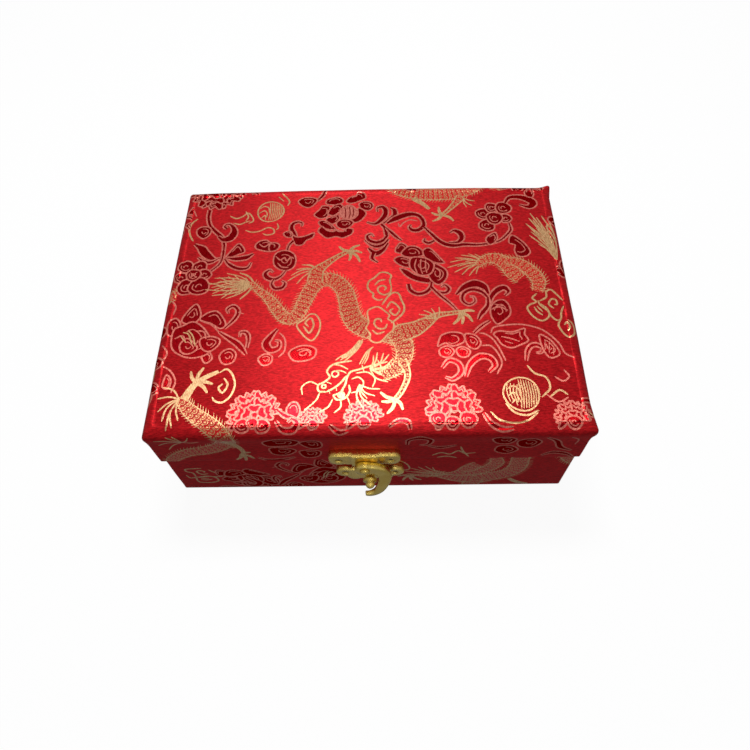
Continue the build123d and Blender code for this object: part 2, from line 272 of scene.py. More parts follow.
# the brocade's five kinds of thread work; a later one lies over an earlier one
# turn is a quarter where the gleam is broad across the cloth, and none where it is broad along it
brocadeSet = {
    "ground": {
        "dark": rgb(138, 9, 14), "light": rgb(190, 22, 28), "rows": 4.2, "float": 1.1, "across": False,
        "rough": 0.44, "metal": 0.4, "specular": 0.18, "tint": (1, 0.5, 0.5), "turn": 0.25, "bump": 0.12},
    "petal": {
        "dark": rgb(128, 5, 12), "light": rgb(168, 15, 22), "rows": 4.2, "float": 0.9, "across": True,
        "rough": 0.21, "metal": 1.0, "specular": 0.1, "tint": (0.6, 0.1, 0.1), "turn": 0.0, "bump": 0.12},
    "pink": {
        "dark": rgb(172, 80, 70), "light": rgb(212, 124, 108), "rows": 3.6, "float": 0.8, "across": True,
        "rough": 0.29, "metal": 0.3, "specular": 0.12, "tint": (0.8, 0.4, 0.35), "turn": 0.0, "bump": 0.2},
    "scale": {
        "dark": rgb(160, 104, 66), "light": rgb(208, 158, 112), "rows": 3.6, "float": 0.8, "across": True,
        "rough": 0.28, "metal": 0.3, "specular": 0.15, "tint": (1, 0.8, 0.6), "turn": 0.0, "bump": 0.2},
    "gold": {
        "dark": rgb(164, 118, 76), "light": rgb(206, 164, 116), "rows": 3.6, "float": 0.8, "across": True,
        "rough": 0.28, "metal": 0.32, "specular": 0.35, "tint": (1, 0.9, 0.8), "turn": 0.0, "bump": 0.2},
}
threadKinds = list(brocadeSet)


def brocadeMaterial(kind):
    values = brocadeSet[kind]
    material, tree, shader = newMaterial("brocade_" + kind)
    woven = placeWeave(tree, values["rows"], values["float"], values["across"])
    colour = mixColour(tree, woven["Shade"], values["dark"], values["light"])
    height, metallic = woven["Height"], values["metal"]
    if kind == "scale":
        mask = scaleMask(tree)
        colour = mixColour(tree, mask, brocadeSet["ground"]["light"], colour)
        metallic = mathNode(tree, "MULTIPLY", mask, values["metal"])
        height = mathNode(tree, "ADD", height, mathNode(tree, "MULTIPLY", mask, scaleSet["raised"]))
    tangent = addNode(tree, "ShaderNodeTangent", direction_type="UV_MAP", uv_map="cloth")
    feed(tree, shader, {
        "Base Color": colour, "Metallic": metallic, "Roughness": values["rough"],
        "Specular IOR Level": values["specular"], "Specular Tint": (*values["tint"], 1),
        "Anisotropic": weaveSet["gleam"], "Anisotropic Rotation": values["turn"],
        "Tangent": tangent.outputs[0]})
    bumpFrom(tree, height, shader, values["bump"], weaveSet["depth"])
    return material


# a scale's length and breadth in mm; within one, its rim's place and thickness and its spot's size
scaleSet = {"length": 2.2, "across": 2.2, "rim": 0.52, "edge": 0.16, "dot": 0.24, "middle": 0.15,
            "squash": 1.6, "raised": 1.5}


def scaleMask(tree):
    # rows of overlapping round scales along a dragon's body, gold at each rim and red within
    along = addNode(tree, "ShaderNodeUVMap", uv_map="along")
    split = addNode(tree, "ShaderNodeSeparateXYZ", {0: along.outputs[0]}).outputs
    column = mathNode(tree, "DIVIDE", split[0], scaleSet["length"])
    number = mathNode(tree, "ABSOLUTE", mathNode(tree, "FLOOR", column))
    odd = mathNode(tree, "MULTIPLY", mathNode(tree, "MODULO", number, 2.0), 0.5)
    row = mathNode(tree, "ADD", mathNode(tree, "DIVIDE", split[1], scaleSet["across"]), odd)
    x = mathNode(tree, "SUBTRACT", mathNode(tree, "FRACT", column), scaleSet["middle"])
    y = mathNode(tree, "SUBTRACT", mathNode(tree, "FRACT", row), 0.5)
    wide = mathNode(tree, "MULTIPLY", mathNode(tree, "MULTIPLY", y, y), scaleSet["squash"])
    far = mathNode(tree, "SQRT", mathNode(tree, "ADD", mathNode(tree, "MULTIPLY", x, x), wide))
    fromRim = mathNode(tree, "ABSOLUTE", mathNode(tree, "SUBTRACT", far, scaleSet["rim"]))
    onRim = mathNode(tree, "LESS_THAN", fromRim, scaleSet["edge"] / 2)
    return mathNode(tree, "MAXIMUM", onRim, mathNode(tree, "LESS_THAN", far, scaleSet["dot"]))


brocadeMaterials = [brocadeMaterial(kind) for kind in threadKinds]
print("brocade threads")


# drawing on a flat cloth, in millimetres
# a line's steps in mm and in degrees of bend; its taper in steps; its least width in mm
threadSet = {"step": 1.4, "bend": 28, "finer": 12, "taper": 2.5, "least": 0.12}


def smoothLine(points):
    # a curve through the points, in steps that are shorter where it bends
    step, bend = threadSet["step"], threadSet["bend"]
    p = np.array(points, float)
    if len(p) < 3:
        n = max(2, int(np.linalg.norm(p[1] - p[0]) / step) + 1)
        return p[0] + (p[1] - p[0]) * np.linspace(0, 1, n)[:, None]
    closed = np.allclose(p[0], p[-1])
    q = np.vstack([p[-2] if closed else 2 * p[0] - p[1], p, p[1] if closed else 2 * p[-1] - p[-2]])
    t = np.linspace(0, 1, threadSet["finer"], endpoint=False)[:, None]
    parts = []
    for a, b, c, d in zip(q, q[1:], q[2:], q[3:]):
        parts.append(0.5 * (2 * b + (c - a) * t + (2 * a - 5 * b + 4 * c - d) * t**2
                            + (3 * b - a - 3 * c + d) * t**3))
    fine = np.vstack(parts + [p[-1:]])
    moves = np.diff(fine, axis=0)
    heading = np.unwrap(np.arctan2(moves[:, 1], moves[:, 0]))
    turns = np.abs(np.diff(heading, prepend=heading[0]))
    spent = np.r_[0, np.cumsum(np.linalg.norm(moves, axis=1) / step + np.degrees(turns) / bend)]
    at = np.linspace(0, spent[-1], max(4, int(spent[-1]) + 2))
    return np.column_stack([np.interp(at, spent, fine[:, 0]), np.interp(at, spent, fine[:, 1])])


def lengthsAlong(line):
    return np.r_[0, np.cumsum(np.linalg.norm(np.diff(line, axis=0), axis=1))]


def normals(line):
    d = np.gradient(line, axis=0)
    if np.allclose(line[0], line[-1]):
        d[0] = d[-1] = line[1] - line[-2]
    d /= np.maximum(np.linalg.norm(d, axis=1), 1e-9)[:, None]
    return np.column_stack([-d[:, 1], d[:, 0]])


def bothSides(line, widths):
    out = normals(line) * (np.asarray(widths) / 2)[:, None]
    return line + out, line - out


def newCloth(outline, rows, sideOf=None):
    # sideOf tells which side of the box a point is on, for motifs that stay on one
    return {"verts": [tuple(p) for p in outline], "faces": [list(range(len(outline)))], "kinds": [0],
            "along": [None], "rows": rows, "only": [None], "sideOf": sideOf, "side": None}


def addFace(cloth, corners, kind, along=None):
    if cloth["side"] is not None and not (cloth["sideOf"](np.array(corners)) == cloth["side"]).any():
        return
    first = len(cloth["verts"])
    cloth["only"].append(cloth["side"])
    cloth["verts"] += [tuple(c) for c in corners]
    cloth["faces"].append(list(range(first, first + len(corners))))
    cloth["kinds"].append(threadKinds.index(kind))
    cloth["along"].append(along)


def threadWidths(line, width, ends=(0.5, 0.5)):
    # a line of thread starts and ends at a share of its width
    steps = np.arange(len(line)) / threadSet["taper"]
    share = np.minimum(1, np.minimum(ends[0] + steps, ends[1] + steps[::-1]))
    return np.maximum(width * share, threadSet["least"])


def stroke(cloth, line, width, kind, ends=(0.5, 0.5)):
    ribbon(cloth, line, threadWidths(line, width, ends), kind)


def ribbon(cloth, line, widths, kind):
    left, right = bothSides(line, widths)
    run = lengthsAlong(line)
    for i in range(len(line) - 1):
        along = (line[i], line[i + 1], run[i]) if kind == "scale" else None
        addFace(cloth, (left[i], right[i], right[i + 1], left[i + 1]), kind, along)
    return left, right


def outlined(cloth, line, widths, fill, edge, edgeWidth):
    # a tapering shape within a thread line, filled as far as the thread's inner sides
    widths = np.interp(np.linspace(0, 1, len(line)), np.linspace(0, 1, len(widths)), widths)
    edgeWidths = threadWidths(line, edgeWidth)
    if fill == edge:
        ribbon(cloth, line, widths + edgeWidths, fill)
        return
    left, right = bothSides(line, widths)
    if fill == "scale":
        ribbon(cloth, line, widths, fill)
    else:
        _, leftInner = bothSides(left, edgeWidths)
        rightInner, _ = bothSides(right, edgeWidths)
        addFace(cloth, np.vstack([leftInner, rightInner[::-1]]), fill)
    ribbon(cloth, left, edgeWidths, edge)
    ribbon(cloth, right, edgeWidths, edge)


def areaWithin(line):
    x, y = np.array(line).T
    return abs(np.dot(x, np.roll(y, -1)) - np.dot(y, np.roll(x, -1))) / 2


def closedShape(cloth, line, fill, edge, edgeWidth):
    # a round shape, filled as far as its thread's inner side
    widths = np.full(len(line), edgeWidth)
    addFace(cloth, min(bothSides(line, widths), key=areaWithin)[:-1], fill)
    ribbon(cloth, line, widths, edge)


def inside(points, corners):
    # which points lie within a closed outline
    x, y = points[:, 0], points[:, 1]
    odd = np.zeros(len(points), bool)
    for (x0, y0), (x1, y1) in zip(corners, np.roll(corners, -1, axis=0)):
        if y0 != y1:
            odd ^= ((y0 > y) != (y1 > y)) & (x < x0 + (y - y0) / (y1 - y0) * (x1 - x0))
    return odd


def cutCloth(cloth):
    # join everything drawn into one sheet of triangles that meet edge to edge, then colour it in order
    verts, edges = list(cloth["verts"]), []
    for face in cloth["faces"]:
        edges += list(zip(face, face[1:] + face[:1]))
    for a, b in cloth["rows"]:
        edges.append((len(verts), len(verts) + 1))
        verts += [a, b]
    points, _, faces, *_ = delaunay_2d_cdt([Vector(v) for v in verts], edges, [], 0, 1e-4, False)
    flat = np.array([tuple(p) for p in points])
    faces = np.array(faces)
    middles = flat[faces].mean(axis=1)
    order = np.argsort(middles[:, 0])
    faces, middles = faces[order], middles[order]
    tops = np.full(len(faces), -1)
    sides = cloth["sideOf"](middles) if cloth["sideOf"] else None
    for number, face in enumerate(cloth["faces"]):
        corners = np.array([cloth["verts"][i] for i in face])
        low, high = corners.min(axis=0), corners.max(axis=0)
        first, last = np.searchsorted(middles[:, 0], (low[0], high[0]))
        height = middles[first:last, 1]
        near = first + np.flatnonzero((height >= low[1]) & (height <= high[1]))
        here = near[inside(middles[near], corners)]
        if number:
            here = here[tops[here] >= 0]
        if cloth["only"][number] is not None:
            here = here[sides[here] == cloth["only"][number]]
        tops[here] = number
    kept = tops >= 0
    kinds = np.array(cloth["kinds"])[tops[kept]]
    return flat, faces[kept].tolist(), kinds.tolist(), tops[kept].tolist()


# how the cloth lies on the box: each side's section from its fold to its hidden hem, as (inset, height)
clothSet = {
    "cornerRadius": 0.7,
    "shoulderRadius": 3.4,
    "domeRadius": 2600.0,
    "domeRise": 1.0,
    "rimRadius": 0.5,
    "wall": 3.8,          # board with cloth on both sides
    "hem": 9.0,           # up the inside, behind the cards
    "underTurn": 14.0,
    "bottomRadius": 0.7,
    "grid": 9.0,          # the cloth's coarsest cell
    "join": 0.004,
    "sliver": 0.001,
    "topSteps": (0.5, 1.5, 4.0),  # extra lines on the top, inside its edge
    "wallStep": 3.0,
    "shoulderSteps": 7,
    "arcSteps": 3,
    "cornerLeast": 0.02,  # a corner sharper than this needs no lines of its own
    "rowsInset": 2.0,
    "wave": 0.16,         # how far it stands off true
    "waveLength": 22.0,
    "lidSeed": 3.1,
    "baseSeed": 8.7,
    "fadeFrom": 1.0,      # it lies true at a rim and the foot
    "fadeOver": 3.0,
    "puff": 0.7,          # how far the sponge pushes the cloth out below the lid's edge
    "puffHeight": 53.5,
    "puffReach": 3.4,
    # spare cloth stands out at the lid's two right corners: which corner, how far, how wide
    "ears": (((1, 1), (1.3, 1.2, 0.5), 2.6), ((1, -1), (1.2, -0.1, 0.8), 7.0)),
    "earFoot": 50.0,
    "earRise": 5.0,
}

lidLow, lidHigh = boxOf("lid_brocade")
baseLow, baseHigh = boxOf("base_brocade")


def arcPoints(inset, height, radius, fromDegrees, toDegrees, steps):
    a = np.radians(np.linspace(fromDegrees, toDegrees, steps + 1))
    return [(inset - radius * math.cos(t), height + radius * math.sin(t)) for t in a]


def section(points):
    p = np.array([points[0]] + [b for a, b in zip(points, points[1:]) if math.dist(a, b) > 1e-6])
    return {"run": lengthsAlong(p), "inset": p[:, 0], "height": p[:, 1]}


def wallSteps(inset, fromHeight, toHeight):
    n = max(1, round(abs(toHeight - fromHeight) / clothSet["wallStep"]))
    return [(inset, h) for h in np.linspace(fromHeight, toHeight, n + 1)]


def rimPoints(height, way):
    # round the rim from the outside in; way is 1 where the wall stands above its rim
    centre, steps = height + way * rim, clothSet["arcSteps"]
    return (arcPoints(rim, centre, rim, 0, -90 * way, steps)
            + arcPoints(wall - rim, centre, rim, -90 * way, -180 * way, steps))


wall, hem = clothSet["wall"], clothSet["hem"]
shoulder, rim, bottom = (clothSet[part + "Radius"] for part in ("shoulder", "rim", "bottom"))
domePeak = lidHigh[2]
topHeight = domePeak - clothSet["domeRise"]
lidSection = section(
    arcPoints(shoulder, topHeight - shoulder, shoulder, 90, 0, clothSet["shoulderSteps"])
    + wallSteps(0, topHeight - shoulder, lidLow[2] + rim)
    + rimPoints(lidLow[2], 1)
    + wallSteps(wall, lidLow[2] + rim, lidLow[2] + hem))
baseSection = section(
    wallSteps(wall, baseHigh[2] - hem, baseHigh[2] - rim)
    + rimPoints(baseHigh[2], -1)[::-1]
    + wallSteps(0, baseHigh[2] - rim, baseLow[2] + bottom)
    + arcPoints(bottom, baseLow[2] + bottom, bottom, 0, -90, clothSet["arcSteps"])
    + [(clothSet["underTurn"], baseLow[2])])


def cornerAt(inset):
    return clothSet["cornerRadius"] * np.clip(1 - np.asarray(inset) / shoulder, 0, 1)


def reach(half, inset):
    # how far a side's cloth goes along it, to the mitre in the middle of the corner
    return half - inset - cornerAt(inset) * (1 - math.pi / 4)


def sidePlace(halfAlong, halfOut, cut, s, t):
    # where a point of a side's cloth lies: along the side, out from the middle, up, and which way it faces
    inset = np.interp(t, cut["run"], cut["inset"])
    height = np.interp(t, cut["run"], cut["height"])
    rho = np.maximum(cornerAt(inset), 1e-6)
    past = np.maximum(np.abs(s) - (halfAlong - inset - rho), 0)
    phi = np.minimum(past / rho, math.pi / 4)
    along = np.where(past > 0, np.sign(s) * (halfAlong - inset - rho + rho * np.sin(phi)), s)
    out = halfOut - inset - np.where(past > 0, rho * (1 - np.cos(phi)), 0)
    flat = np.clip(1 - inset / shoulder, 0, 1)
    facing = np.column_stack([np.sign(s) * np.sin(phi) * flat, np.cos(phi) * flat])
    return along, out, height, facing, np.sqrt(1 - flat**2)


def turned(x, y, quarter):
    # front, right, back, left
    return ((x, y), (-y, x), (-x, -y), (y, -x))[quarter]


def sideOutline(half, cut, offset=0.0):
    ends = reach(half, cut["inset"])
    left = [(-e, -(offset + t)) for e, t in zip(ends, cut["run"])]
    right = [(e, -(offset + t)) for e, t in zip(ends, cut["run"])]
    return left, right


def sideRows(half, cut, offset=0.0):
    # the lines where the cloth bends, and cross lines that let it follow the dome and the corners
    left, right = sideOutline(half, cut, offset)
    rows = list(zip(left[1:-1], right[1:-1]))
    rho = cornerAt(cut["inset"])
    for share in (0.0, 0.5):
        column = half - cut["inset"] - rho * (1 - share * math.pi / 4)
        for i in range(len(column) - 1):
            if rho[i] + rho[i + 1] > clothSet["cornerLeast"]:
                for way in (-1, 1):
                    rows.append(((way * column[i], -(offset + cut["run"][i])),
                                 (way * column[i + 1], -(offset + cut["run"][i + 1]))))
    count = int(half / clothSet["grid"])
    most = half - cut["inset"].max() - clothSet["rowsInset"]
    for x in np.linspace(-most, most, 2 * count):
        rows.append(((x, -(offset + cut["run"][0])), (x, -(offset + cut["run"][-1]))))
    return rows


def clothMesh(name, cloths, place, start=(0, 0), step=0):
    # one mesh of several flat pieces of cloth, each put where place says; start sets their threads apart
    verts, faces, kinds, uvCloth, uvAlong = [], [], [], [], []
    for number, cloth in enumerate(cloths):
        flat, cut, cutKinds, tops = cutCloth(cloth)
        first = sum(len(v) for v in verts)
        verts.append(place(number, flat))
        for face, kind, top in zip(cut, cutKinds, tops):
            faces.append([first + i for i in face])
            kinds.append(kind)
            corners = flat[list(face)]
            uvCloth.append(corners + (start[0] + number * step, start[1]))
            line = cloth["along"][top]
            uvAlong.append(np.zeros((len(face), 2)) if line is None else alongLine(line, corners))
    mesh = bpy.data.meshes.new(name)
    mesh.from_pydata(np.vstack(verts) * mm, [], faces)
    for layer, values in (("cloth", uvCloth), ("along", uvAlong)):
        mesh.uv_layers.new(name=layer).data.foreach_set("uv", np.vstack(values).ravel())
    for material in brocadeMaterials:
        mesh.materials.append(material)
    mesh.polygons.foreach_set("material_index", kinds)
    smoothShaded(mesh)
    bm = bmesh.new()
    bm.from_mesh(mesh)
    bmesh.ops.remove_doubles(bm, verts=bm.verts, dist=clothSet["join"] * mm)
    bmesh.ops.dissolve_degenerate(bm, edges=bm.edges, dist=clothSet["sliver"] * mm)
    bm.to_mesh(mesh)
    bm.free()
    return newObject(name, mesh)


def alongLine(line, corners):
    # how far corners are along a ribbon's middle line, and to its left
    start, end, behind = line
    d = (end - start) / max(np.linalg.norm(end - start), 1e-9)
    off = corners - start
    return np.column_stack([behind + off @ d, off[:, 1] * d[0] - off[:, 0] * d[1]])


def fading(rise):
    return np.clip((rise - clothSet["fadeFrom"]) / clothSet["fadeOver"], 0, 1)


def stirred(points, seed):
    # cloth over board is never quite true
    out = np.empty(len(points))
    for i, p in enumerate(points):
        out[i] = noise.noise(Vector(p) / clothSet["waveLength"] + Vector((seed, 0, 0)))
    return out * clothSet["wave"]


lidMiddle, lidHalf = (lidLow + lidHigh) / 2, (lidHigh - lidLow) / 2
baseMiddle, baseHalf = (baseLow + baseHigh) / 2, (baseHigh - baseLow) / 2
topHalf = lidHalf[:2] - shoulder
lidReach = lidSection["run"][-1]


def sideHalves(half, quarter):
    # half a side's length, and how far out from the middle it is
    return half[quarter % 2], half[1 - quarter % 2]


def domeHeight(x, y):
    return domePeak - (x**2 + y**2) / (2 * clothSet["domeRadius"])


def lidSide(flat):
    # -1 on the top, else front 0, right 1, back 2, left 3
    past = np.abs(flat) - topHalf
    front = np.where(flat[:, 1] < 0, 0, 2)
    flank = np.where(flat[:, 0] > 0, 1, 3)
    return np.where(past.max(axis=1) <= 0, -1, np.where(past[:, 1] >= past[:, 0], front, flank))


def placeLid(number, flat):
    x, y = flat[:, 0], flat[:, 1]
    past = np.column_stack([np.abs(x) - topHalf[0], np.abs(y) - topHalf[1]])
    out = np.column_stack([x, y, domeHeight(x, y)])
    push = np.zeros((len(flat), 3))
    push[:, 2] = 1
    side = past[:, 0] > past[:, 1]
    for quarter in range(4):
        fx, fy = turned(x, y, (4 - quarter) % 4)
        along, across = sideHalves(lidHalf, quarter)
        here = (past.max(axis=1) > 0) & (side == (quarter % 2 == 1)) & (fy < 0)
        if not here.any():
            continue
        t = -fy[here] - (across - shoulder)
        s, o, h, facing, up = sidePlace(along, across, lidSection, fx[here], t)
        edge = np.clip(fx[here], -(along - shoulder), along - shoulder)
        crown = domeHeight(edge, across - shoulder) - topHeight
        wallTop, wallFoot = topHeight - shoulder, lidLow[2] + rim
        outside = t < lidSection["run"][np.argmin(lidSection["height"])]
        share = np.clip((h - wallFoot) / (wallTop - wallFoot), 0, 1) * outside
        px, py = turned(s, -o, quarter)
        out[here] = np.column_stack([px, py, h + crown * share])
        nx, ny = turned(facing[:, 0], -facing[:, 1], quarter)
        fade = fading(h - lidLow[2]) * outside
        push[here] = np.column_stack([nx, ny, up]) * fade[:, None]
    puff = clothSet["puff"] * np.exp(-((out[:, 2] - clothSet["puffHeight"]) / clothSet["puffReach"]) ** 2)
    puff *= past.max(axis=1) > 0
    out += push * (stirred(out, clothSet["lidSeed"]) + puff)[:, None]
    for corner, ear, span in clothSet["ears"]:
        away = np.linalg.norm(out[:, :2] - lidHalf[:2] * corner, axis=1)
        near = np.exp(-away ** 2 / span**2)
        near *= np.clip((out[:, 2] - clothSet["earFoot"]) / clothSet["earRise"], 0, 1)
        out += near[:, None] * np.array(ear)
    out[:, :2] += lidMiddle[:2]
    return out


def placeBase(quarter, flat):
    along, across = sideHalves(baseHalf, quarter)
    s, o, h, facing, _ = sidePlace(along, across, baseSection, flat[:, 0], -flat[:, 1])
    px, py = turned(s, -o, quarter)
    out = np.column_stack([px, py, h])
    nx, ny = turned(facing[:, 0], -facing[:, 1], quarter)
    outer = baseSection["run"][np.argmax(baseSection["inset"] < 0.01)]
    fade = fading(h - baseLow[2]) * np.clip((baseHigh[2] - h) / clothSet["fadeOver"], 0, 1)
    fade *= -flat[:, 1] > outer
    out += np.column_stack([nx, ny, np.zeros(len(out))]) * (stirred(out, clothSet["baseSeed"]) * fade)[:,
        None]
    out[:, :2] += baseMiddle[:2]
    return out


def lidCloth():
    outline, rows = [], []
    for quarter in range(4):
        along, across = sideHalves(lidHalf, quarter)
        offset = across - shoulder
        left, right = sideOutline(along, lidSection, offset)
        outline += [turned(*p, quarter) for p in left + right[:0:-1]]
        rows += [(turned(*a, quarter), turned(*b, quarter)) for a, b in sideRows(along, lidSection, offset)]
        rows.append((turned(*left[0], quarter), turned(*right[0], quarter)))
        for step in clothSet["topSteps"]:
            end = along - shoulder - step
            rows.append((turned(-end, step - offset, quarter), turned(end, step - offset, quarter)))
    for axis in (0, 1):
        count = int(2 * topHalf[axis] / clothSet["grid"])
        for v in np.linspace(-topHalf[axis], topHalf[axis], count + 1)[1:-1]:
            ends = [(v, -topHalf[1]), (v, topHalf[1])] if axis == 0 else [(-topHalf[0], v), (topHalf[0], v)]
            rows.append(tuple(ends))
    return newCloth(outline, rows, lidSide)


def baseCloth(quarter):
    along = baseHalf[quarter % 2]
    left, right = sideOutline(along, baseSection)
    return newCloth(left + right[::-1], sideRows(along, baseSection))


# a pen draws motifs in millimetres from the lid's back left corner, x to the right and y to the front,
# and may carry them elsewhere: home is the point that lands at place
motifSet = {
    "line": 0.7,
    "fold": 0.45,
    # a petal's least half breadth with a fold and with two, each fold's size and its part of the outline
    "foldFrom": 1.15,
    "foldsFrom": 2.4,
    "folds": ((0.58, 0.1, 0.62), (0.26, 0.4, 1.0)),
    "notch": 0.86,
    "foot": 0.3,
    # a peony's rings of petals: size, number, lobes of each petal
    "peonyRings": ((1.0, 8, 3), (0.72, 6, 3), (0.46, 5, 2)),
    "peonyFoot": 0.15,
    "peonyOverlap": 1.12,
    "peonyHeart": 0.14,
    "flameBend": 0.6,
    "clawBend": 0.12,
    "clawTip": 0.35,
}


def penOn(cloth, place, home=(0, 0), turn=0, flip=False):
    return {"cloth": cloth, "place": np.array(place, float), "home": np.array(home, float),
            "turn": math.radians(turn), "flip": flip}


def put(pen, points):
    p = np.atleast_2d(np.array(points, float)) - pen["home"]
    x, y = (-p[:, 0] if pen["flip"] else p[:, 0]), -p[:, 1]
    c, s = math.cos(pen["turn"]), math.sin(pen["turn"])
    return np.column_stack([c * x - s * y, s * x + c * y]) + pen["place"]


def thread(pen, points, kind="pink", width=motifSet["line"]):
    stroke(pen["cloth"], smoothLine(put(pen, points)), width, kind)


def threads(pen, kind, width, *lines):
    for points in lines:
        thread(pen, points, kind, width)


def leaf(pen, points, widths, fill="petal", edge="pink"):
    outlined(pen["cloth"], smoothLine(put(pen, points)), widths, fill, edge, motifSet["line"])


def petal(pen, points, fill="petal", edge="pink"):
    line = smoothLine(put(pen, points + points[:1]))
    closedShape(pen["cloth"], line, fill, edge, motifSet["line"])
    middle = line[:-1].mean(axis=0)
    breadth = np.linalg.norm(line - middle, axis=1).min()
    if fill == "petal" and edge == "pink" and breadth > motifSet["foldFrom"]:
        for share, first, last in motifSet["folds"][:2 if breadth > motifSet["foldsFrom"] else 1]:
            part = line[int(first * len(line)):int(last * len(line))]
            if len(part) > 3:
                stroke(pen["cloth"], middle + (part - middle) * share, motifSet["fold"], edge)


def petals(pen, *shapes):
    for points in shapes:
        petal(pen, points)


def ring(x, y, r, squash=1.0, n=9, lumps=0.06):
    a = np.linspace(0, 2 * math.pi, n, endpoint=False)
    rr = r * (1 + lumps * np.sin(3 * a + x))
    return [(x + q * math.cos(t), y + squash * q * math.sin(t)) for q, t in zip(rr, a)]


def rounds(pen, *places):
    for x, y, r in places:
        petal(pen, ring(x, y, r))


def lobed(x, y, inner, outer, heading, spread, lobes):
    # a peony petal: narrow at its foot, with a scalloped outer edge
    points = []
    for i in range(2 * lobes + 1):
        a = math.radians(heading - spread / 2 + spread * i / (2 * lobes))
        r = outer * (1.0 if i % 2 else motifSet["notch"])
        points.append((x + r * math.cos(a), y + r * math.sin(a)))
    for share in (motifSet["foot"], -motifSet["foot"]):
        a = math.radians(heading + share * spread)
        points.append((x + inner * math.cos(a), y + inner * math.sin(a)))
    return points


def peony(pen, x, y, radius, first=0, spread=360):
    # rings of scalloped petals, the inner ones over the outer
    for share, count, lobes in motifSet["peonyRings"]:
        n = max(3, round(count * spread / 360))
        for i in range(n):
            heading = first + (i + (0.5 if share < 1 else 0)) * spread / n
            petal(pen, lobed(x, y, motifSet["peonyFoot"] * radius, share * radius, heading,
                             motifSet["peonyOverlap"] * spread / n, lobes))
    rounds(pen, (x, y, motifSet["peonyHeart"] * radius))


def strokesFrom(pen, root, tips, bend, width=0.6):
    # a flame or a mane: bent strokes that leave a root
    root = np.array(root, float)
    for number, tip in enumerate(tips):
        tip = np.array(tip, float)
        way = tip - root
        side = np.array([-way[1], way[0]]) * bend * (1 if number % 2 else motifSet["flameBend"])
        thread(pen, [tuple(root), tuple(root + way * 0.5 + side), tuple(tip)], "gold", width)


bodySet = {
    "scales": 0.88,    # share of the body's width
    "edge": 0.35,
    "hair": 0.4,
    "hairEvery": 1.5,
    "hairLean": 0.6,
    "hairFoot": 0.8,
    "footAhead": 0.5,
    "hairBow": 0.2,
    "hairEnds": (1, 0.3),
    "back": 1.2,
    "belly": 0.7,
}


def comb(cloth, edge, side, length):
    # short leaning strokes across one edge of a dragon's body
    run = lengthsAlong(edge)
    across = normals(edge) * side
    ahead = np.gradient(edge, axis=0)
    ahead /= np.linalg.norm(ahead, axis=1)[:, None]
    for at in np.arange(bodySet["hairEvery"] / 2, run[-1], bodySet["hairEvery"]):
        i = int(np.argmin(np.abs(run - at)))
        foot = edge[i] - across[i] * bodySet["hairFoot"] + ahead[i] * bodySet["footAhead"]
        tip = edge[i] + across[i] * length - ahead[i] * length * bodySet["hairLean"]
        middle = (foot + tip) / 2 + ahead[i] * bodySet["hairBow"]
        stroke(cloth, np.array([foot, middle, tip]), bodySet["hair"], "gold", bodySet["hairEnds"])


def dragonBody(pen, points, widths, back=1, combs=1.3):
    # scales between two hairy edges, longer strokes down the back
    line = smoothLine(put(pen, points))
    widths = np.interp(np.linspace(0, 1, len(line)), np.linspace(0, 1, len(widths)), widths)
    left, right = ribbon(pen["cloth"], line, widths * bodySet["scales"], "scale")
    for edge, side in ((left, 1), (right, -1)):
        stroke(pen["cloth"], edge, bodySet["edge"], "gold")
        comb(pen["cloth"], edge, side, combs * bodySet["back" if side == back else "belly"])


def claw(pen, wrist, tips, width=0.8):
    for tip in tips:
        (x, y), (dx, dy) = wrist, (tip[0] - wrist[0], tip[1] - wrist[1])
        middle = ((x + tip[0]) / 2 + dy * motifSet["clawBend"], (y + tip[1]) / 2 - dx * motifSet["clawBend"])
        leaf(pen, [wrist, middle, tip], [width, width * 0.9, motifSet["clawTip"]], "gold", "gold")


# the motifs, read off the photograph's lid
pearlSet = {"tall": 1.05, "lumps": 0.02, "stripes": 8, "firstStripe": -0.1, "apart": 0.14, "stripeTall": 0.92,
            "stripeBow": 0.5, "stripe": 0.5, "flame": 0.6}


def lanternPearl(pen, x=39.5, y=14.5, r=6.0):
    # a flaming pearl: a striped ball with ribbons
    petal(pen, ring(x, y, r, pearlSet["tall"], 12, pearlSet["lumps"]), "ground", "gold")
    for i in range(pearlSet["stripes"]):
        dx = (pearlSet["firstStripe"] + i * pearlSet["apart"]) * r
        tall = pearlSet["stripeTall"] * math.sqrt(max(r * r - dx * dx, 0))
        middle = (x + dx + pearlSet["stripeBow"], y)
        thread(pen, [(x + dx, y - tall), middle, (x + dx, y + tall)], "gold", pearlSet["stripe"])
    threads(pen, "gold", pearlSet["flame"],
            [(x - 5.2, y - 2), (x - 3, y - 3.4), (x - 1, y - 2.2), (x - 0.6, y + 1)],
            [(x - 5.2, y + 1), (x - 3, y - 0.6), (x - 1.6, y + 1), (x - 1.6, y + 3.6)],
            [(x - 4, y + 4), (x - 2.4, y + 2.4), (x - 2, y + 5)])


def pearlRibbons(pen):
    threads(pen, "gold", 0.7,
            [(44, 3), (46.5, 6), (47.8, 8.6), (47, 11)], [(42.5, 5), (45, 8)],
            [(21, 16.5), (24, 18.2), (27, 17), (29, 15), (31, 17), (32, 20), (30, 21.5)],
            [(23, 21), (26, 22), (28.5, 20.8), (30.5, 20)],
            [(29, 25.8), (32, 27), (35.5, 26.5), (39, 24.5), (41.5, 25.5), (42, 28), (39, 29), (37, 28)],
            [(43, 22), (43.8, 24.5), (43, 26)], [(28, 14), (29.5, 17.5), (28.5, 20)])


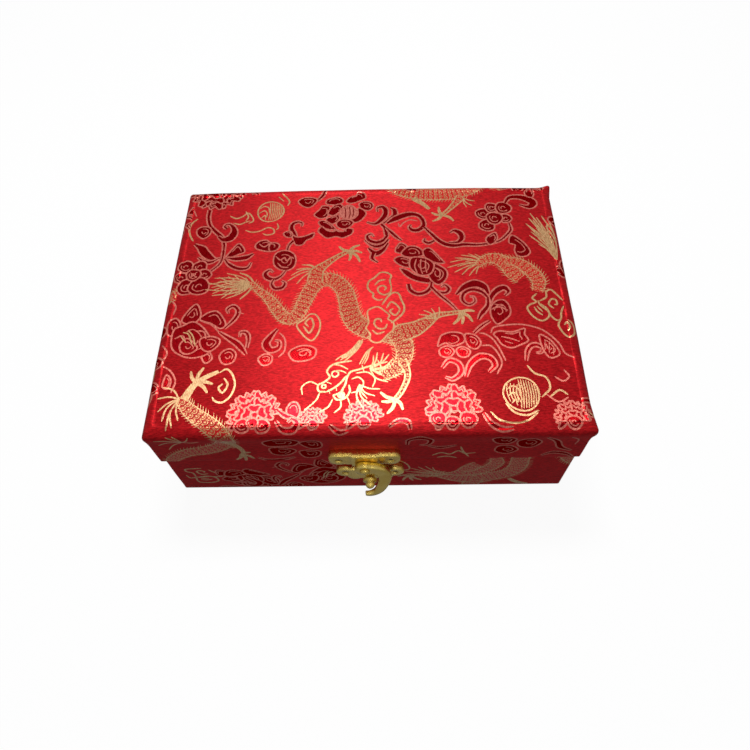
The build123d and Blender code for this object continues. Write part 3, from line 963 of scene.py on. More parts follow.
def leftSpray(pen):
    peony(pen, 13.5, -1.5, 13.5, 10)
    leaf(pen, [(11, 12), (11, 17), (12.7, 22.5), (16, 26.5), (19, 30), (20.3, 34), (20.6, 39)],
         [2, 1.8, 1.8, 2, 2.2, 1.6, 1.2])
    leaf(pen, [(20.5, 24.3), (19.2, 23.2), (19.8, 21.8), (21.6, 21.9), (23.4, 24), (24, 27), (22.6, 30.2),
               (19.5, 31), (17, 29)], [1.4, 1.3, 1.2, 1.6, 2.6, 3.8, 3.8, 2.6, 1.2])
    petals(pen, [(7, 24), (9, 22.6), (12, 23), (13.5, 25), (12.8, 28), (10.5, 30), (8, 28.5), (6.8, 26)],
           [(22, 41.5), (24, 37.5), (26.5, 33.8), (28.5, 35), (30, 38.5), (27.5, 40), (24.5, 41.5)])
    leaf(pen, [(7, 33.2), (10.5, 36), (13, 39.5), (17, 42.5), (20, 42)], [1, 4, 4, 2, 1])
    leaf(pen, [(9.5, 41), (13, 43.8), (16, 44), (19, 42)], [0.8, 2.2, 1.8, 0.8])
    leaf(pen, [(22, 41.8), (26, 42.6), (31, 41.9), (34, 39.8)], [0.8, 2.4, 2.8, 1])
    leaf(pen, [(21.5, 42.5), (24, 45.8), (28, 48.2), (32, 48), (33.5, 44.8)], [1, 1.9, 2, 1.6, 0.8])
    leaf(pen, [(20.5, 38), (20.5, 42), (19.5, 45.5), (16.5, 49), (13.5, 52)], [1.6, 1.3, 1.3, 1.2, 1])
    thread(pen, [(6.2, 17.5), (4, 20), (3.2, 23.5), (4, 27.5), (6, 31.3)], "gold", 0.8)
    thread(pen, [(2.5, 10), (4, 13), (5.4, 16)])


def leftFlower(pen):
    rounds(pen, (5, 46.3, 3.3), (11.2, 46.5, 3.2), (13.8, 51, 3), (3.8, 52.5, 3), (7, 57.6, 4.2),
           (12.2, 57.4, 4.6), (9, 51, 3.2))
    threads(pen, "pink", 0.6, [(7.6, 49.6), (9, 51), (10.6, 52.4)], [(10.4, 49.4), (9, 51), (7.6, 52.8)])


def budSpray(pen):
    petal(pen, [(34.3, 35), (36, 32.6), (39, 32), (41, 33.6), (43.5, 33.8), (45.2, 35.6), (44, 38.2),
                (41, 38.9), (37.5, 38.2), (35, 37)])
    threads(pen, "pink", 0.7, [(36, 34.2), (38.2, 36), (40.6, 34.4)], [(41, 34), (40.4, 36.4), (41, 38.6)])
    leaf(pen, [(54.2, 24.6), (54.4, 22.6), (52.5, 21.6), (50.2, 22.8), (49.8, 25.6), (51.2, 29), (52, 32)],
         [0.8, 1.2, 1.4, 1.9, 2.1, 2.4, 2])
    petal(pen, [(50.2, 29.2), (52.4, 30.8), (56, 30.4), (60, 28.6), (59.6, 31.4), (57, 33), (55.2, 35.6),
                (52.5, 35.6), (51, 33)])
    petal(pen, [(46.4, 28.2), (49, 27), (50.6, 29.4), (49.5, 31), (47.4, 30.4)])
    leaf(pen, [(51, 33), (49.2, 36), (48.8, 39.5)], [1.6, 1.2, 1.2])
    petal(pen, [(43.4, 41), (46, 38.8), (49, 38.8), (52, 41), (53, 45), (52, 48.6), (49, 50.2), (45.5, 49),
                (43.3, 46)])
    threads(pen, "pink", 0.7, [(44, 41.8), (46, 44), (47.8, 42.8), (49, 44.6), (50.6, 42.6), (52, 43.6)],
            [(45, 45.6), (47, 48), (50, 48.4)])
    leaf(pen, [(49, 50), (47, 53.2), (44, 54.8), (41, 53.5), (40.2, 51.2), (42, 49.6), (43.6, 51)],
         [0.8, 1.4, 2.1, 2.4, 1.8, 1.2, 0.7])
    leaf(pen, [(44, 54.8), (43.4, 57.4), (45, 59.8), (48, 59.4), (49, 57), (47.4, 55.6)],
         [1, 1.6, 1.8, 1.8, 1.4, 0.7])


def backPeony(pen):
    leaf(pen, [(60.5, 8.5), (63, 5), (64.4, 1)], [1.2, 1.8, 1.4])
    petals(pen, [(51.8, 8.6), (54, 6.2), (58, 6), (60.6, 7.4), (59.6, 10.4), (57, 12.6), (54, 11.6)],
           [(64.8, 10.4), (65, 8), (67.4, 6.8), (70.4, 6.2), (72.6, 8), (72, 10.2), (68.4, 11.4)],
           [(74, 9.4), (75.6, 6.6), (78.4, 5.4), (79.6, 3.2), (82.4, 4.2), (83, 7.2),
            (80.4, 9), (76.4, 10.6)],
           [(80, 11), (82.6, 9.4), (85.8, 10.4), (86.6, 13), (84.4, 15.4), (81, 14.2)],
           [(62, 14), (63.2, 11.8), (66.4, 12.4), (66.6, 16), (65.2, 19.2), (62, 19.8),
            (59.6, 17.6), (60.6, 15.6)],
           [(66, 15.6), (68, 12.2), (71.2, 10.8), (73, 13.6), (71, 16), (68.6, 18.2), (66.2, 17.6)],
           [(79.4, 13.8), (82, 14.8), (83.2, 17.6), (81, 21.4), (78, 22.8), (76.6, 20.6), (79.4, 18)],
           [(65.2, 20.2), (67.6, 18.8), (70.6, 17.8), (71.2, 20.4), (68.6, 23.4), (65.8, 22.4)],
           [(69.8, 23.2), (72, 20.8), (76, 21), (77.6, 23.2), (74.6, 26.4), (71.2, 26)],
           [(61.8, 22), (64, 21), (67.2, 23.2), (69.6, 26.4), (66.4, 26.8), (63, 24.6)],
           [(61.8, 27.4), (63.4, 24.8), (65.6, 27), (68, 28), (70, 26.8), (72.8, 28.2),
            (74.8, 26.2), (77.4, 26.8), (76.8, 29.8), (73, 32), (70, 31.2), (66, 32), (63.2, 29.6)])
    petal(pen, ring(75.2, 16.4, 4, 1.15), "pink", "pink")
    threads(pen, "petal", 0.45, [(73.4, 13), (74, 17), (73.6, 20)], [(75.4, 12.6), (76, 16.6), (75.4, 20.4)],
            [(77.2, 13.4), (77.6, 16.4), (77, 19.4)])


def scrollBranch(pen):
    leaf(pen, [(88.5, 16.4), (88.3, 14), (90.5, 13.2), (92, 15), (91.8, 18.5), (89.5, 22),
               (87, 23.8), (83.4, 22.6)],
         [0.8, 1.3, 2.1, 2.5, 2.7, 2.3, 1.6, 0.8])
    leaf(pen, [(94.2, 13.8), (96, 15.2), (96.2, 18), (94.3, 20.2), (92, 22.6), (90.3, 24.2)],
         [1, 2.2, 2.6, 1.8, 1.4, 1])
    leaf(pen, [(90, 24), (91.6, 26.2), (92.2, 29.4), (92.4, 32)], [1.6, 1.8, 2, 1.8])
    leaf(pen, [(86.8, 31.8), (85.6, 30), (83.9, 31), (84.4, 33.4), (87.5, 35), (90.5, 34), (92.6, 31.2)],
         [0.7, 1.1, 1.6, 2, 2.1, 2, 1.4])
    leaf(pen, [(82.6, 33.4), (85, 36.2), (88, 37.4), (91, 36.2), (93.2, 33)], [0.8, 1.4, 2, 2, 1])
    leaf(pen, [(93, 35.4), (90.6, 39.4), (87.4, 41.4), (84.2, 38.2)], [1, 2.4, 3.4, 1])
    leaf(pen, [(86.6, 41), (86, 44.2), (88.4, 46.6)], [2, 1.8, 0.8])
    leaf(pen, [(92, 26), (94.5, 29.2), (96.6, 31.8), (99, 34.2)], [0.8, 1.8, 1.8, 0.9])
    leaf(pen, [(92.6, 23.6), (95, 21.7), (99, 19.4), (103, 18.1), (106.6, 18.8), (108.6, 21.6), (109, 25),
               (107, 27.6), (104.2, 28), (102.6, 26.2), (103.4, 24.4)],
         [1.2, 3.2, 3.2, 2.6, 2.2, 2, 2.2, 2.4, 2.2, 1.6, 0.8])
    thread(pen, [(97.6, 23.6), (98.4, 25.6), (100, 23.4), (103, 21.6), (106.4, 22.4)])
    leaf(pen, [(109, 26), (112, 30.2), (115, 34.2), (118, 36.6), (121.5, 37.4), (126, 36.8),
               (132, 37), (137, 36.4)],
         [1.2, 1.8, 2.2, 2.4, 2.4, 2, 1.6, 1.4])
    leaf(pen, [(119.6, 35.6), (123.5, 35.4), (125.4, 33), (124.8, 30), (122.4, 28.6), (120.4, 29.8)],
         [0.9, 1.8, 2.5, 2.9, 2.1, 0.8])
    leaf(pen, [(113.4, 34.4), (110.8, 35.8), (108.8, 34.6), (109.4, 32.8)], [1.2, 2, 1.6, 0.7])


def middlePeony(pen):
    petals(pen, [(96, 40.5), (97, 37), (98.6, 35.4), (101, 37), (101, 39.6), (99, 41.6)],
           [(98.6, 41.4), (101.5, 37.8), (105, 37.7), (107.6, 39.8), (108.2, 42.8), (104, 44), (100, 43.4)],
           [(108, 40.4), (110.6, 38.6), (113, 41), (115.2, 44.4), (117, 47.4), (113.2, 47.2), (109, 44.4)],
           [(95.4, 45), (98, 43.2), (101.4, 44.4), (104.4, 46.2), (103.8, 49.4), (100, 49.4), (97, 47.6)],
           [(97.8, 50), (101, 51), (104.2, 53.6), (108, 55), (112, 56), (112, 58.4), (107.6, 58),
            (103.4, 56.6), (100, 54)],
           [(111.4, 47.6), (115, 48.8), (117.8, 52), (117.2, 56.2), (114, 59.2), (111, 57), (109.6, 52.6)],
           [(103, 44.2), (109, 44.6), (112.4, 48), (111, 53), (106.4, 54), (102.2, 49.8)])
    threads(pen, "pink", 0.6, [(105, 45), (104.2, 49), (105.2, 53)],
            [(107, 45), (106.6, 49.4), (107.4, 53.4)], [(109, 45.4), (108.8, 49.6), (109.2, 52.8)],
            [(112.6, 49.8), (114.8, 52), (114.4, 55.8)])
    leaf(pen, [(101.2, 58.6), (102, 62), (105, 63.9), (108.4, 63), (110.4, 60.6), (111, 57.6)],
         [1.6, 2, 2, 1.9, 1.8, 1.3])
    leaf(pen, [(111, 61), (113.4, 63), (116.6, 63.4), (118, 61.4), (116.4, 59.4), (114.6, 60.6)],
         [1, 1.6, 1.7, 1.7, 1.3, 0.7])
    leaf(pen, [(110.8, 60.4), (114, 64.6), (118, 69), (121.2, 73.4)], [1.4, 1.6, 1.3, 0.9])


def rightFlower(pen):
    rounds(pen, (136, 18.3, 3.3), (140.3, 14.4, 3), (145.6, 14.6, 3.7), (146, 21.2, 2.7), (137.2, 25.4, 3.6),
           (141, 21, 3.7))
    leaf(pen, [(146.8, 11.4), (149, 8), (153, 7.4), (157, 8.6), (159.6, 11), (157.6, 13.8), (153, 12.6)],
         [1.4, 2.2, 3, 4, 3.8, 2.6, 0.9])
    petal(pen, [(156.6, 5.6), (157.2, 2.6), (159.6, 1.4), (160.8, 4.6), (160, 7.4), (158, 7.4)])
    leaf(pen, [(147.2, 24), (147.6, 28), (145.2, 31.6), (142, 34.6), (137, 36.6)], [1, 1.5, 1.4, 1.3, 1.2])
    petals(pen, [(136, 33.4), (138, 31), (140.6, 29.8), (141.2, 33), (139.6, 35.8),
                 (137.6, 37), (136.4, 35.6)],
           [(146.4, 33), (148, 31.4), (151, 34), (153.2, 37), (154.6, 41), (152.6, 43.6),
            (149, 43.6), (147.8, 40.4), (148.4, 37.2), (146, 36)])


def backDragon(pen):
    dragonBody(pen, [(93, -3), (99, 2.5), (107, 5), (116, 5.6), (125, 4.6), (133, 1), (138, -4)],
               [6, 7.5, 8, 8, 7.5, 6], -1)
    leaf(pen, [(127, 7), (123.6, 12), (120, 16.4), (117.4, 19)], [4, 2.6, 1.6, 1.2], "scale", "gold")
    claw(pen, (117.6, 18.8), [(113, 22.6), (116.4, 13.6), (122.6, 22.6), (112.8, 17.2)])
    leaf(pen, [(105, 8), (109, 11.4), (112, 15)], [2.4, 1.6, 1], "gold", "gold")
    strokesFrom(pen, (128, 8), [(133, 10), (131.6, 13), (129, 14)], 0.15)


def rightMane(pen):
    tips = [(157.4, 18), (154.6, 24.4), (155.4, 31.5), (158.8, 36.6), (160, 20.6), (162.4, 19.6),
            (164.8, 21.4), (161.4, 30), (157, 27.6), (163.4, 26), (159, 33), (162, 40), (158.6, 23),
            (160.4, 26.6), (156.4, 21), (162.6, 34)]
    strokesFrom(pen, (165.4, 46), tips, 0.1, width=0.7)
    strokesFrom(pen, (165.4, 36), [(158.2, 22), (161.4, 23.6), (164, 24.6), (156.4, 29.4), (159, 27),
                                   (155.8, 26)], -0.1)


# the fan at a tail's end: its strokes turn from one angle on, and each has a length of its own
tailSet = {"root": (35.4, 57.4), "middle": (34, 57.8), "strokes": 22, "from": 2.1,
           "turn": 0.1, "length": 13.2, "uneven": ((2.4, 1.7), (1.6, 0.15)), "wide": 1.12, "tall": 0.55,
           "bends": (-0.14, 0.16), "stroke": 0.5}


def tailFlame(pen):
    x, y = tailSet["middle"]
    for i in range(tailSet["strokes"]):
        a = tailSet["from"] + tailSet["turn"] * i
        far = tailSet["length"]
        for size, pace in tailSet["uneven"]:
            far += size * math.sin(i * pace)
        tip = (x + far * tailSet["wide"] * math.cos(a), y - far * tailSet["tall"] * math.sin(a))
        strokesFrom(pen, tailSet["root"], [tip], tailSet["bends"][i % 2], tailSet["stroke"])
    threads(pen, "gold", 0.8, [(29, 50.6), (33, 52.6), (35.4, 56.4), (34, 61), (30.6, 65)],
            [(29.6, 54), (31.2, 57.6), (29.8, 62)], [(32, 53.4), (33.2, 57), (32, 60.6)])


def mainDragon(pen):
    tailFlame(pen)
    dragonBody(pen, [(34.4, 56), (38, 60.4), (41.6, 63.6), (45, 68), (47.6, 72), (50.4, 75.2),
                     (53.4, 75.4), (56, 72.4), (57.8, 67), (60.4, 60.4), (63.6, 56.6), (67.6, 55.4),
                     (71.6, 57.8), (74.4, 62), (76, 68), (77, 73.4), (79.6, 78.4), (84, 81.4),
                     (90, 83), (96.4, 85)],
               [2.6, 3.2, 4.4, 5.6, 5.8, 6, 6.2, 6.6, 7, 7.2, 7.4, 7.6, 8, 8.2, 8.6, 9, 9.4, 9.6, 9.8, 10],
               1, 1.5)
    dragonBody(pen, [(96, 83), (98.4, 89), (98.4, 95), (95.6, 100), (90, 103.4)],
               [9.6, 8.4, 7, 6, 5], -1, 1.4)
    # hind leg
    strokesFrom(pen, (62, 50), [(50, 56), (51.4, 53), (53.4, 49.8), (55.6, 47.2), (54, 57.6), (58, 47)], 0.14)
    leaf(pen, [(61.6, 57), (62.6, 51), (66.6, 46.6), (71.4, 42.6), (76, 39.6)],
         [6.4, 5.6, 3, 1.8, 1.6], "scale", "gold")
    claw(pen, (76, 40), [(80.6, 36.4), (81.6, 41), (80.8, 46.2), (76, 45.4), (71.4, 37)])
    # fore leg
    leaf(pen, [(97, 83.6), (103, 81.6), (108.4, 78), (112.6, 75), (118.4, 74), (122.6, 73.4)],
         [8, 7, 5, 2.6, 1.6, 1.4], "scale", "gold")
    strokesFrom(pen, (112, 77), [(105, 74.4), (107, 72.4), (110.2, 71.4), (113.4, 70.8), (104.4, 77)], 0.12)
    claw(pen, (122, 73.6), [(127.8, 73.2), (126.6, 78.4), (122.2, 79.6), (118.6, 79.6)])
    leaf(pen, [(97.6, 96), (99.6, 103), (97.4, 109.6), (94.4, 114)], [3.4, 2, 1.6, 1.4], "scale", "gold")
    claw(pen, (94.6, 113.4), [(91.4, 119.6), (97.4, 118), (89.4, 114.4), (89, 110.4)])
    # small limb behind the neck
    leaf(pen, [(81.6, 87), (78.6, 91.6), (74, 95)], [1.4, 1.8, 0.9], "gold", "gold")


def dragonHead(pen):
    # horns, brow, eye, snout, open jaws, whiskers and mane in gold line
    for lean in (0, 0.9, 1.8):
        thread(pen, [(82.4, 86), (80.4 + lean * 0.4, 89), (77.6 + lean, 92), (74 + lean, 94 + lean),
                     (71.6 + lean * 2, 96)], "gold", 0.55)
        thread(pen, [(86.4, 90), (84 + lean * 0.5, 92), (82.4 + lean, 95), (81 + lean, 98)], "gold", 0.5)
    strokesFrom(pen, (85, 100), [(88, 92.6), (90.4, 93), (92.6, 93.6), (94.4, 95.4), (96, 97.6),
                                 (95.4, 100.6), (94, 103.4), (92, 106), (86.4, 94), (93, 98)], 0.18)
    strokesFrom(pen, (81, 107), [(84, 113), (87, 112), (89, 109), (85.4, 116), (80.4, 114.6), (82.4, 117)],
                0.16)
    threads(pen, "gold", 0.8,
            [(92, 97), (86, 98.6), (80.6, 100.4), (77.6, 101.4), (76.2, 104), (75.6, 107), (74, 110)],
            [(78, 96.4), (73.4, 97), (70, 98.4), (68.4, 101), (69.6, 103.4), (67.6, 105.6), (65.2, 107),
             (65.6, 109.6), (68.4, 110)],
            [(68.4, 110), (71, 108.6), (74, 106), (76, 103)],
            [(77, 107), (77.4, 110), (75.6, 112.8), (72.6, 113.4), (71, 111.6)],
            [(71, 111.6), (73.6, 110.6), (75, 109)])
    threads(pen, "gold", 0.6,
            [(78, 104.6), (80.6, 103.8), (82.6, 106), (81.4, 109.4), (78, 110.6)],
            [(79.6, 102), (84, 101.6), (87, 104.4), (86, 108.4)],
            [(68.8, 99.6), (71, 98), (74, 98.6), (76.6, 100.2)], [(72, 100.6), (74.4, 101), (76, 102)],
            [(65.4, 107), (62, 105.4), (59, 107.6), (59.4, 111)], [(66, 110), (64.6, 113.6), (60.4, 117.8)],
            [(71, 113), (69.4, 116.4), (66, 118.6)], [(74, 113.4), (74, 116.6), (71.6, 119)],
            [(76.4, 112), (77.6, 115.6)], [(68.4, 105.6), (70.4, 106.6)], [(69.4, 108.8), (69.8, 110.8)],
            [(72, 107.6), (72.4, 109.6)], [(88, 96), (89.4, 99.6), (88.6, 103)], [(82, 98.4), (82.8, 101.4)])
    petal(pen, ring(71.6, 102.2, 1.3, 1, 7), "petal", "gold")
    petal(pen, ring(67.4, 107.6, 0.8, 1, 7), "petal", "gold")
    petal(pen, ring(74.2, 111.4, 1.2, 1, 7), "gold", "gold")


def cloudTrio(pen):
    petal(pen, [(84, 73), (86, 71), (88.5, 70.5), (91, 72.5), (93, 74.8), (92.4, 76.6), (94.6, 78.6),
                (94.3, 82), (92, 84.5), (89.5, 87.5), (87, 88), (85, 86.5), (85.2, 84), (83.5, 81),
                (84.5, 78)], "ground", "gold")
    threads(pen, "gold", 0.8,
            [(94, 60), (93.4, 56.6), (94, 54), (92, 52.3), (89.4, 52.4), (87, 55), (84.6, 57),
             (84, 60), (85, 62.2), (86.5, 63.6), (86.3, 65.4), (88.4, 67), (90.6, 66.4)],
            [(91.6, 56.2), (89, 56.8), (87, 59.2)],
            [(94, 60), (93.6, 62.8), (91.2, 64.3), (88.8, 63), (88.4, 60.6), (90.4, 59.4),
             (91.8, 60.6), (91, 62)],
            [(90, 69.6), (92, 66), (94.5, 63.3), (97, 63.8), (98, 67), (99.2, 70.5), (98.4, 74),
             (95.4, 77.2), (93.6, 78.6)],
            [(91.8, 71.2), (94, 68), (97.2, 71.5), (95.4, 74.7), (93.2, 72.8), (94.6, 71.4)],
            [(92, 79), (91, 81.2), (88.4, 81.2), (86.8, 79), (87.4, 76.8), (89.2, 76.6), (89.8, 78.2)],
            [(86, 82), (88, 83.8), (91, 82.8)])


def smallCloud(pen):
    petal(pen, [(55.4, 78.6), (57, 82.2), (60.4, 86), (62.6, 86), (64.6, 82), (64.8, 77.5), (63, 74),
                (60.4, 73.6), (58.4, 76)], "ground", "gold")
    threads(pen, "gold", 0.8,
            [(58, 79.4), (60.6, 82.8), (62.2, 79), (61, 75.6), (58.8, 77.6), (60.2, 79.8)])


def cloudPair(pen):
    threads(pen, "gold", 0.8,
            [(154.4, 64), (152.2, 66.4), (153.5, 68.4), (150.6, 70), (149.5, 72), (151.5, 76),
             (154.6, 78), (157.4, 76.4), (158, 73.6), (155, 70), (154.4, 67.6)],
            [(152.4, 71), (153.4, 73.4), (155.4, 75.2)], [(153.6, 70.6), (155.6, 73.6)],
            [(155, 68), (158, 66), (158.4, 63.2), (160.4, 62), (162.6, 64.6), (164.6, 67.6)],
            [(164.5, 70.5), (163, 74), (162.4, 77.2), (160.4, 77.6), (158.4, 75), (157.6, 72), (155.2, 69.4)],
            [(160.4, 71.8), (158.6, 69.6), (160, 67), (161.8, 67.4), (162, 69.6), (160.8, 69.8)],
            [(162.4, 77.4), (161, 80), (162.4, 84), (164.6, 86), (166.8, 84), (167, 80), (165, 77.6)],
            [(163.4, 80), (164.6, 78.8), (165.4, 81), (164.4, 83)])


def rightDragon(pen):
    tips = [(118, 50), (119.4, 47), (121.6, 44.6), (124.4, 43), (127.6, 42.2), (130.4, 42.4),
            (121, 52.6), (124, 54), (127, 54.6), (130, 53.6), (122.4, 49.4), (126, 46.6), (126.6, 51)]
    strokesFrom(pen, (134, 47.4), tips, 0.12, width=0.55)
    dragonBody(pen, [(131, 49), (134.4, 45.6), (139, 45), (143.6, 48), (146, 53), (148.6, 56)],
               [3, 5, 6.6, 8, 8.6, 7], -1)
    dragonBody(pen, [(143, 45.8), (148.6, 47.4), (153.4, 52), (156, 57.4), (154.8, 63)],
               [4, 6, 7.2, 7, 5], 1, 1.4)


def curlBranch(pen):
    leaf(pen, [(120.8, 64.6), (124.4, 60.8), (129, 58.8), (132.8, 60.6), (134.2, 64)], [1, 3, 4, 3.4, 1.4])
    leaf(pen, [(134, 66.4), (131.5, 63.2), (127.5, 62), (124, 64), (123.3, 67.5),
               (125.6, 69.8), (128.2, 68.4), (128, 66), (126.2, 65.6)],
         [1.4, 2, 2, 1.8, 1.6, 1.4, 1.2, 1, 0.6])
    leaf(pen, [(134, 70), (135.4, 65.6), (138, 62.4), (141, 61), (142.6, 63), (141, 65.2)],
         [1.3, 2.2, 2.7, 2.6, 1.9, 0.8])
    petal(pen, [(134.4, 76), (134.4, 71.6), (136.5, 68.4), (140, 67.4), (142.2, 70.4),
                (142.2, 74.6), (139.6, 77.6), (136.4, 79.6)])
    threads(pen, "pink", 0.7, [(134.4, 72.4), (138, 71), (141.4, 72.8)], [(136, 69.6), (139.8, 70.6)])
    leaf(pen, [(133.8, 66), (133.4, 70.4), (130.4, 74.6), (129, 77.4)], [1.4, 1.8, 2.2, 1])
    leaf(pen, [(133.6, 78), (130, 80.6), (126.6, 84)], [1, 1.4, 1])


def bigLeaves(pen):
    thread(pen, [(133.4, 84), (134.6, 81.4), (139, 80.2), (146, 79.8), (152, 81.4), (156, 84), (160, 89),
                 (161.6, 93.4), (165, 95.6)])
    petal(pen, [(134.4, 84.4), (137, 83), (142, 83.5), (147, 81.8), (146.8, 84.6), (148, 87.5),
                (145, 89.4), (141, 91), (137.5, 89.6), (135.8, 86.6)])
    threads(pen, "pink", 0.6, [(137.4, 85.6), (141, 86.6), (144.4, 88)], [(138.6, 87.8), (141.6, 89)])
    leaf(pen, [(146, 97), (147.2, 92), (149.8, 89.6), (152.8, 90.6), (152.4, 93), (150.2, 93.4)],
         [1, 1.7, 1.9, 1.6, 1.2, 0.6])
    petal(pen, [(152.6, 85), (156, 86.6), (158.6, 90.4), (159.4, 94), (155.6, 95.6), (153.4, 92)])
    threads(pen, "pink", 0.5, [(154.6, 87), (154, 92)], [(156.2, 88), (155.4, 93.6)],
            [(157.6, 90), (157, 94.4)])
    petals(pen, [(114, 84.6), (118, 83.4), (122, 84.4), (122.4, 88), (118, 90), (115, 88.6),
                 (112, 90), (112.6, 87)],
           [(123, 84.6), (127, 85), (129, 88.5), (127, 91.4), (123.8, 90)],
           [(112.6, 91.4), (116, 90), (118.2, 92.6), (116, 95.2), (112.8, 94.4)],
           [(119, 92), (121.2, 90.4), (124.4, 92), (123.4, 94.8), (120.4, 95)])
    thread(pen, [(128.6, 84), (131, 84.4), (134, 87), (136.4, 92), (138, 97)])
    thread(pen, [(129, 90), (132.6, 90), (135, 93), (136.4, 98), (134, 103)])
    leaf(pen, [(122, 104), (124, 98.6), (128, 95), (132, 95.6), (133.6, 99), (131, 102)],
         [1, 2.2, 2.6, 2.4, 2, 1])
    leaf(pen, [(113, 100), (116, 96.6), (119.6, 98.2), (120.2, 102), (117, 105), (114, 104)],
         [1, 1.8, 2, 2, 1.6, 0.8])


def leftPeony(pen):
    petals(pen, [(7.6, 75.4), (9.4, 70.4), (12.5, 66.8), (14.6, 70), (15, 74), (12, 77)],
           [(15, 74.4), (18, 71.5), (21.6, 70.8), (24.6, 74), (26.2, 78), (24, 79.6), (20, 77), (16.8, 75.8)],
           [(2.4, 76), (5, 73.8), (7.4, 77), (6.4, 82), (3, 82)],
           [(5, 80), (8.6, 77.6), (12.6, 75.8), (17, 78.8), (20, 83), (22.6, 87), (20.6, 91.6),
            (15, 93.4), (9.6, 92), (5.4, 88)],
           [(16.6, 84.6), (21, 83.4), (24.6, 85), (24.2, 88), (21, 90.6), (17.8, 89)],
           [(8.6, 87), (11, 84), (14, 86), (16, 89), (13, 91.4), (9.8, 90.6)])
    threads(pen, "pink", 0.7, [(16.4, 76), (20, 77.4), (23, 80.4), (25.4, 83.4)],
            [(14, 80.4), (17.6, 81), (19, 84.6)], [(6, 84), (9, 82.6), (10.6, 85)])
    threads(pen, "gold", 0.6, [(9, 81), (11.4, 82), (13.6, 87)], [(11, 80), (13.4, 83), (15, 88)],
            [(8, 82.4), (11, 86)])
    leaf(pen, [(25.8, 79.6), (29.4, 75.2), (30.6, 71.2), (28.5, 68.5), (26, 70), (26.8, 72.2)],
         [1, 1.7, 1.8, 1.6, 1.4, 0.7])
    thread(pen, [(30.6, 71.6), (33.2, 72.6)])
    leaf(pen, [(24, 81.4), (28, 84.4), (31.6, 87), (34.2, 90), (36, 92.6)], [1, 1.8, 2.4, 2.4, 1])
    leaf(pen, [(36, 89.4), (36.2, 84.6), (35, 82), (32.8, 81.8), (32.6, 84)], [0.9, 1.6, 1.6, 1.2, 0.7])
    petal(pen, [(25.4, 93), (27.2, 90.2), (30, 89.8), (32, 92.4), (31, 96), (27.4, 96.6)])
    leaf(pen, [(47.6, 80.4), (45.2, 84), (43.5, 87.6), (45.5, 90.6), (48.6, 89.6), (48.8, 86.8), (47, 86)],
         [1, 2.6, 3.2, 2.7, 1.9, 1.3, 0.7])
    thread(pen, [(48.6, 82.4), (51, 85.6), (51.2, 91), (49, 94)])
    petals(pen, [(53, 92), (56, 89.4), (60, 88.8), (63.6, 90.6), (63, 94.4), (59, 96), (55, 95.6)],
           [(41, 94.6), (43.6, 92.4), (46.4, 93.6), (46, 96.8), (43, 97.6)])
    thread(pen, [(57, 92), (60, 91), (62, 93.4)], width=0.6)


def frontRow(pen):
    # the row that rolls over the lid's front edge
    peony(pen, 41.6, 119.4, 10.4, 165, 210)
    peony(pen, 63.6, 122.4, 5.8, 175, 190)
    peony(pen, 82.8, 121.2, 7.4, 165, 210)
    peony(pen, 116.4, 117.8, 10.6, 150, 240)
    peony(pen, 160.6, 121.8, 7.2, 165, 210)
    rounds(pen, (37.4, 123.6, 2.8), (45, 123.8, 2.8), (41.2, 122.6, 2.2), (63.8, 123.6, 2),
           (82.8, 123, 2.4), (110.4, 122, 3), (115.6, 123.4, 2.6), (121.6, 122.2, 3.2), (160.2, 123.4, 2.6))
    petals(pen, [(53.6, 118), (55, 114.6), (57.4, 114.4), (58.8, 117.6), (58, 120.6), (55.4, 120.4)])
    leaf(pen, [(50, 117), (53, 119.6), (56.4, 121), (59, 123)], [1, 1.9, 1.6, 0.8])
    leaf(pen, [(50, 122), (52.6, 125.4), (56.4, 125.6), (58, 122.8), (56, 121.2), (54.4, 122.6)],
         [1, 2, 2.4, 2, 1.4, 0.7])
    leaf(pen, [(70, 124), (73.4, 126.6), (77, 126)], [1, 2, 1])
    leaf(pen, [(92, 125), (95.4, 122.6), (99, 123), (100, 126)], [0.8, 1.6, 1.9, 1])
    leaf(pen, [(127.4, 119.6), (130, 124), (134, 126), (138, 125.6)], [1, 1.8, 1.8, 1])


def cornerDragon(pen):
    dragonBody(pen, [(12, 111), (16, 116), (21.4, 120.4), (27, 124.6), (31, 130), (30, 137)],
               [4, 6, 7, 7.4, 7, 6], 1, 1.4)
    strokesFrom(pen, (12, 111.6), [(4.6, 117), (6.8, 121), (9, 125), (11, 124), (3.6, 111.4),
                                   (5, 106.4), (13, 121)], 0.16, width=0.7)
    leaf(pen, [(14, 112), (17, 106), (21, 102.6), (26, 100)], [2.8, 2, 1.4, 1], "gold", "gold")
    claw(pen, (18, 105), [(15, 99.6), (20, 98), (24.4, 105.6), (22.6, 109.4)])
    threads(pen, "gold", 0.8, [(26.4, 100.6), (29, 99), (31.5, 101.4), (33, 106), (32, 110.6), (29, 113.6),
                               (26, 113), (24.8, 111.2)],
            [(28.4, 103), (30.2, 106), (28.6, 109.4), (26.8, 107.4), (28.2, 105.6)])


def lowerPearl(pen):
    lanternPearl(pen, 142.4, 111.6, 6.8)
    for i in range(5):
        thread(pen, [(137.4 + i * 1.3, 106.6 + i * 0.3), (137 + i * 1.2, 111), (138 + i * 1.2, 115)], "gold",
               0.5)
    threads(pen, "gold", 0.8, [(136, 115.6), (139, 119.4), (143.6, 120.6), (148, 118.6)],
            [(130, 119), (133, 122.4), (138, 123.8), (143, 123), (147.6, 119.6)],
            [(146, 99), (148.6, 102.6), (152.6, 104.4), (153.6, 109), (150, 113)],
            [(153, 113), (157, 110), (160, 112)])
    threads(pen, "pink", motifSet["line"], [(156, 104), (159, 106), (161.6, 104), (160, 101)],
            [(152, 112), (156, 115), (160, 113)])


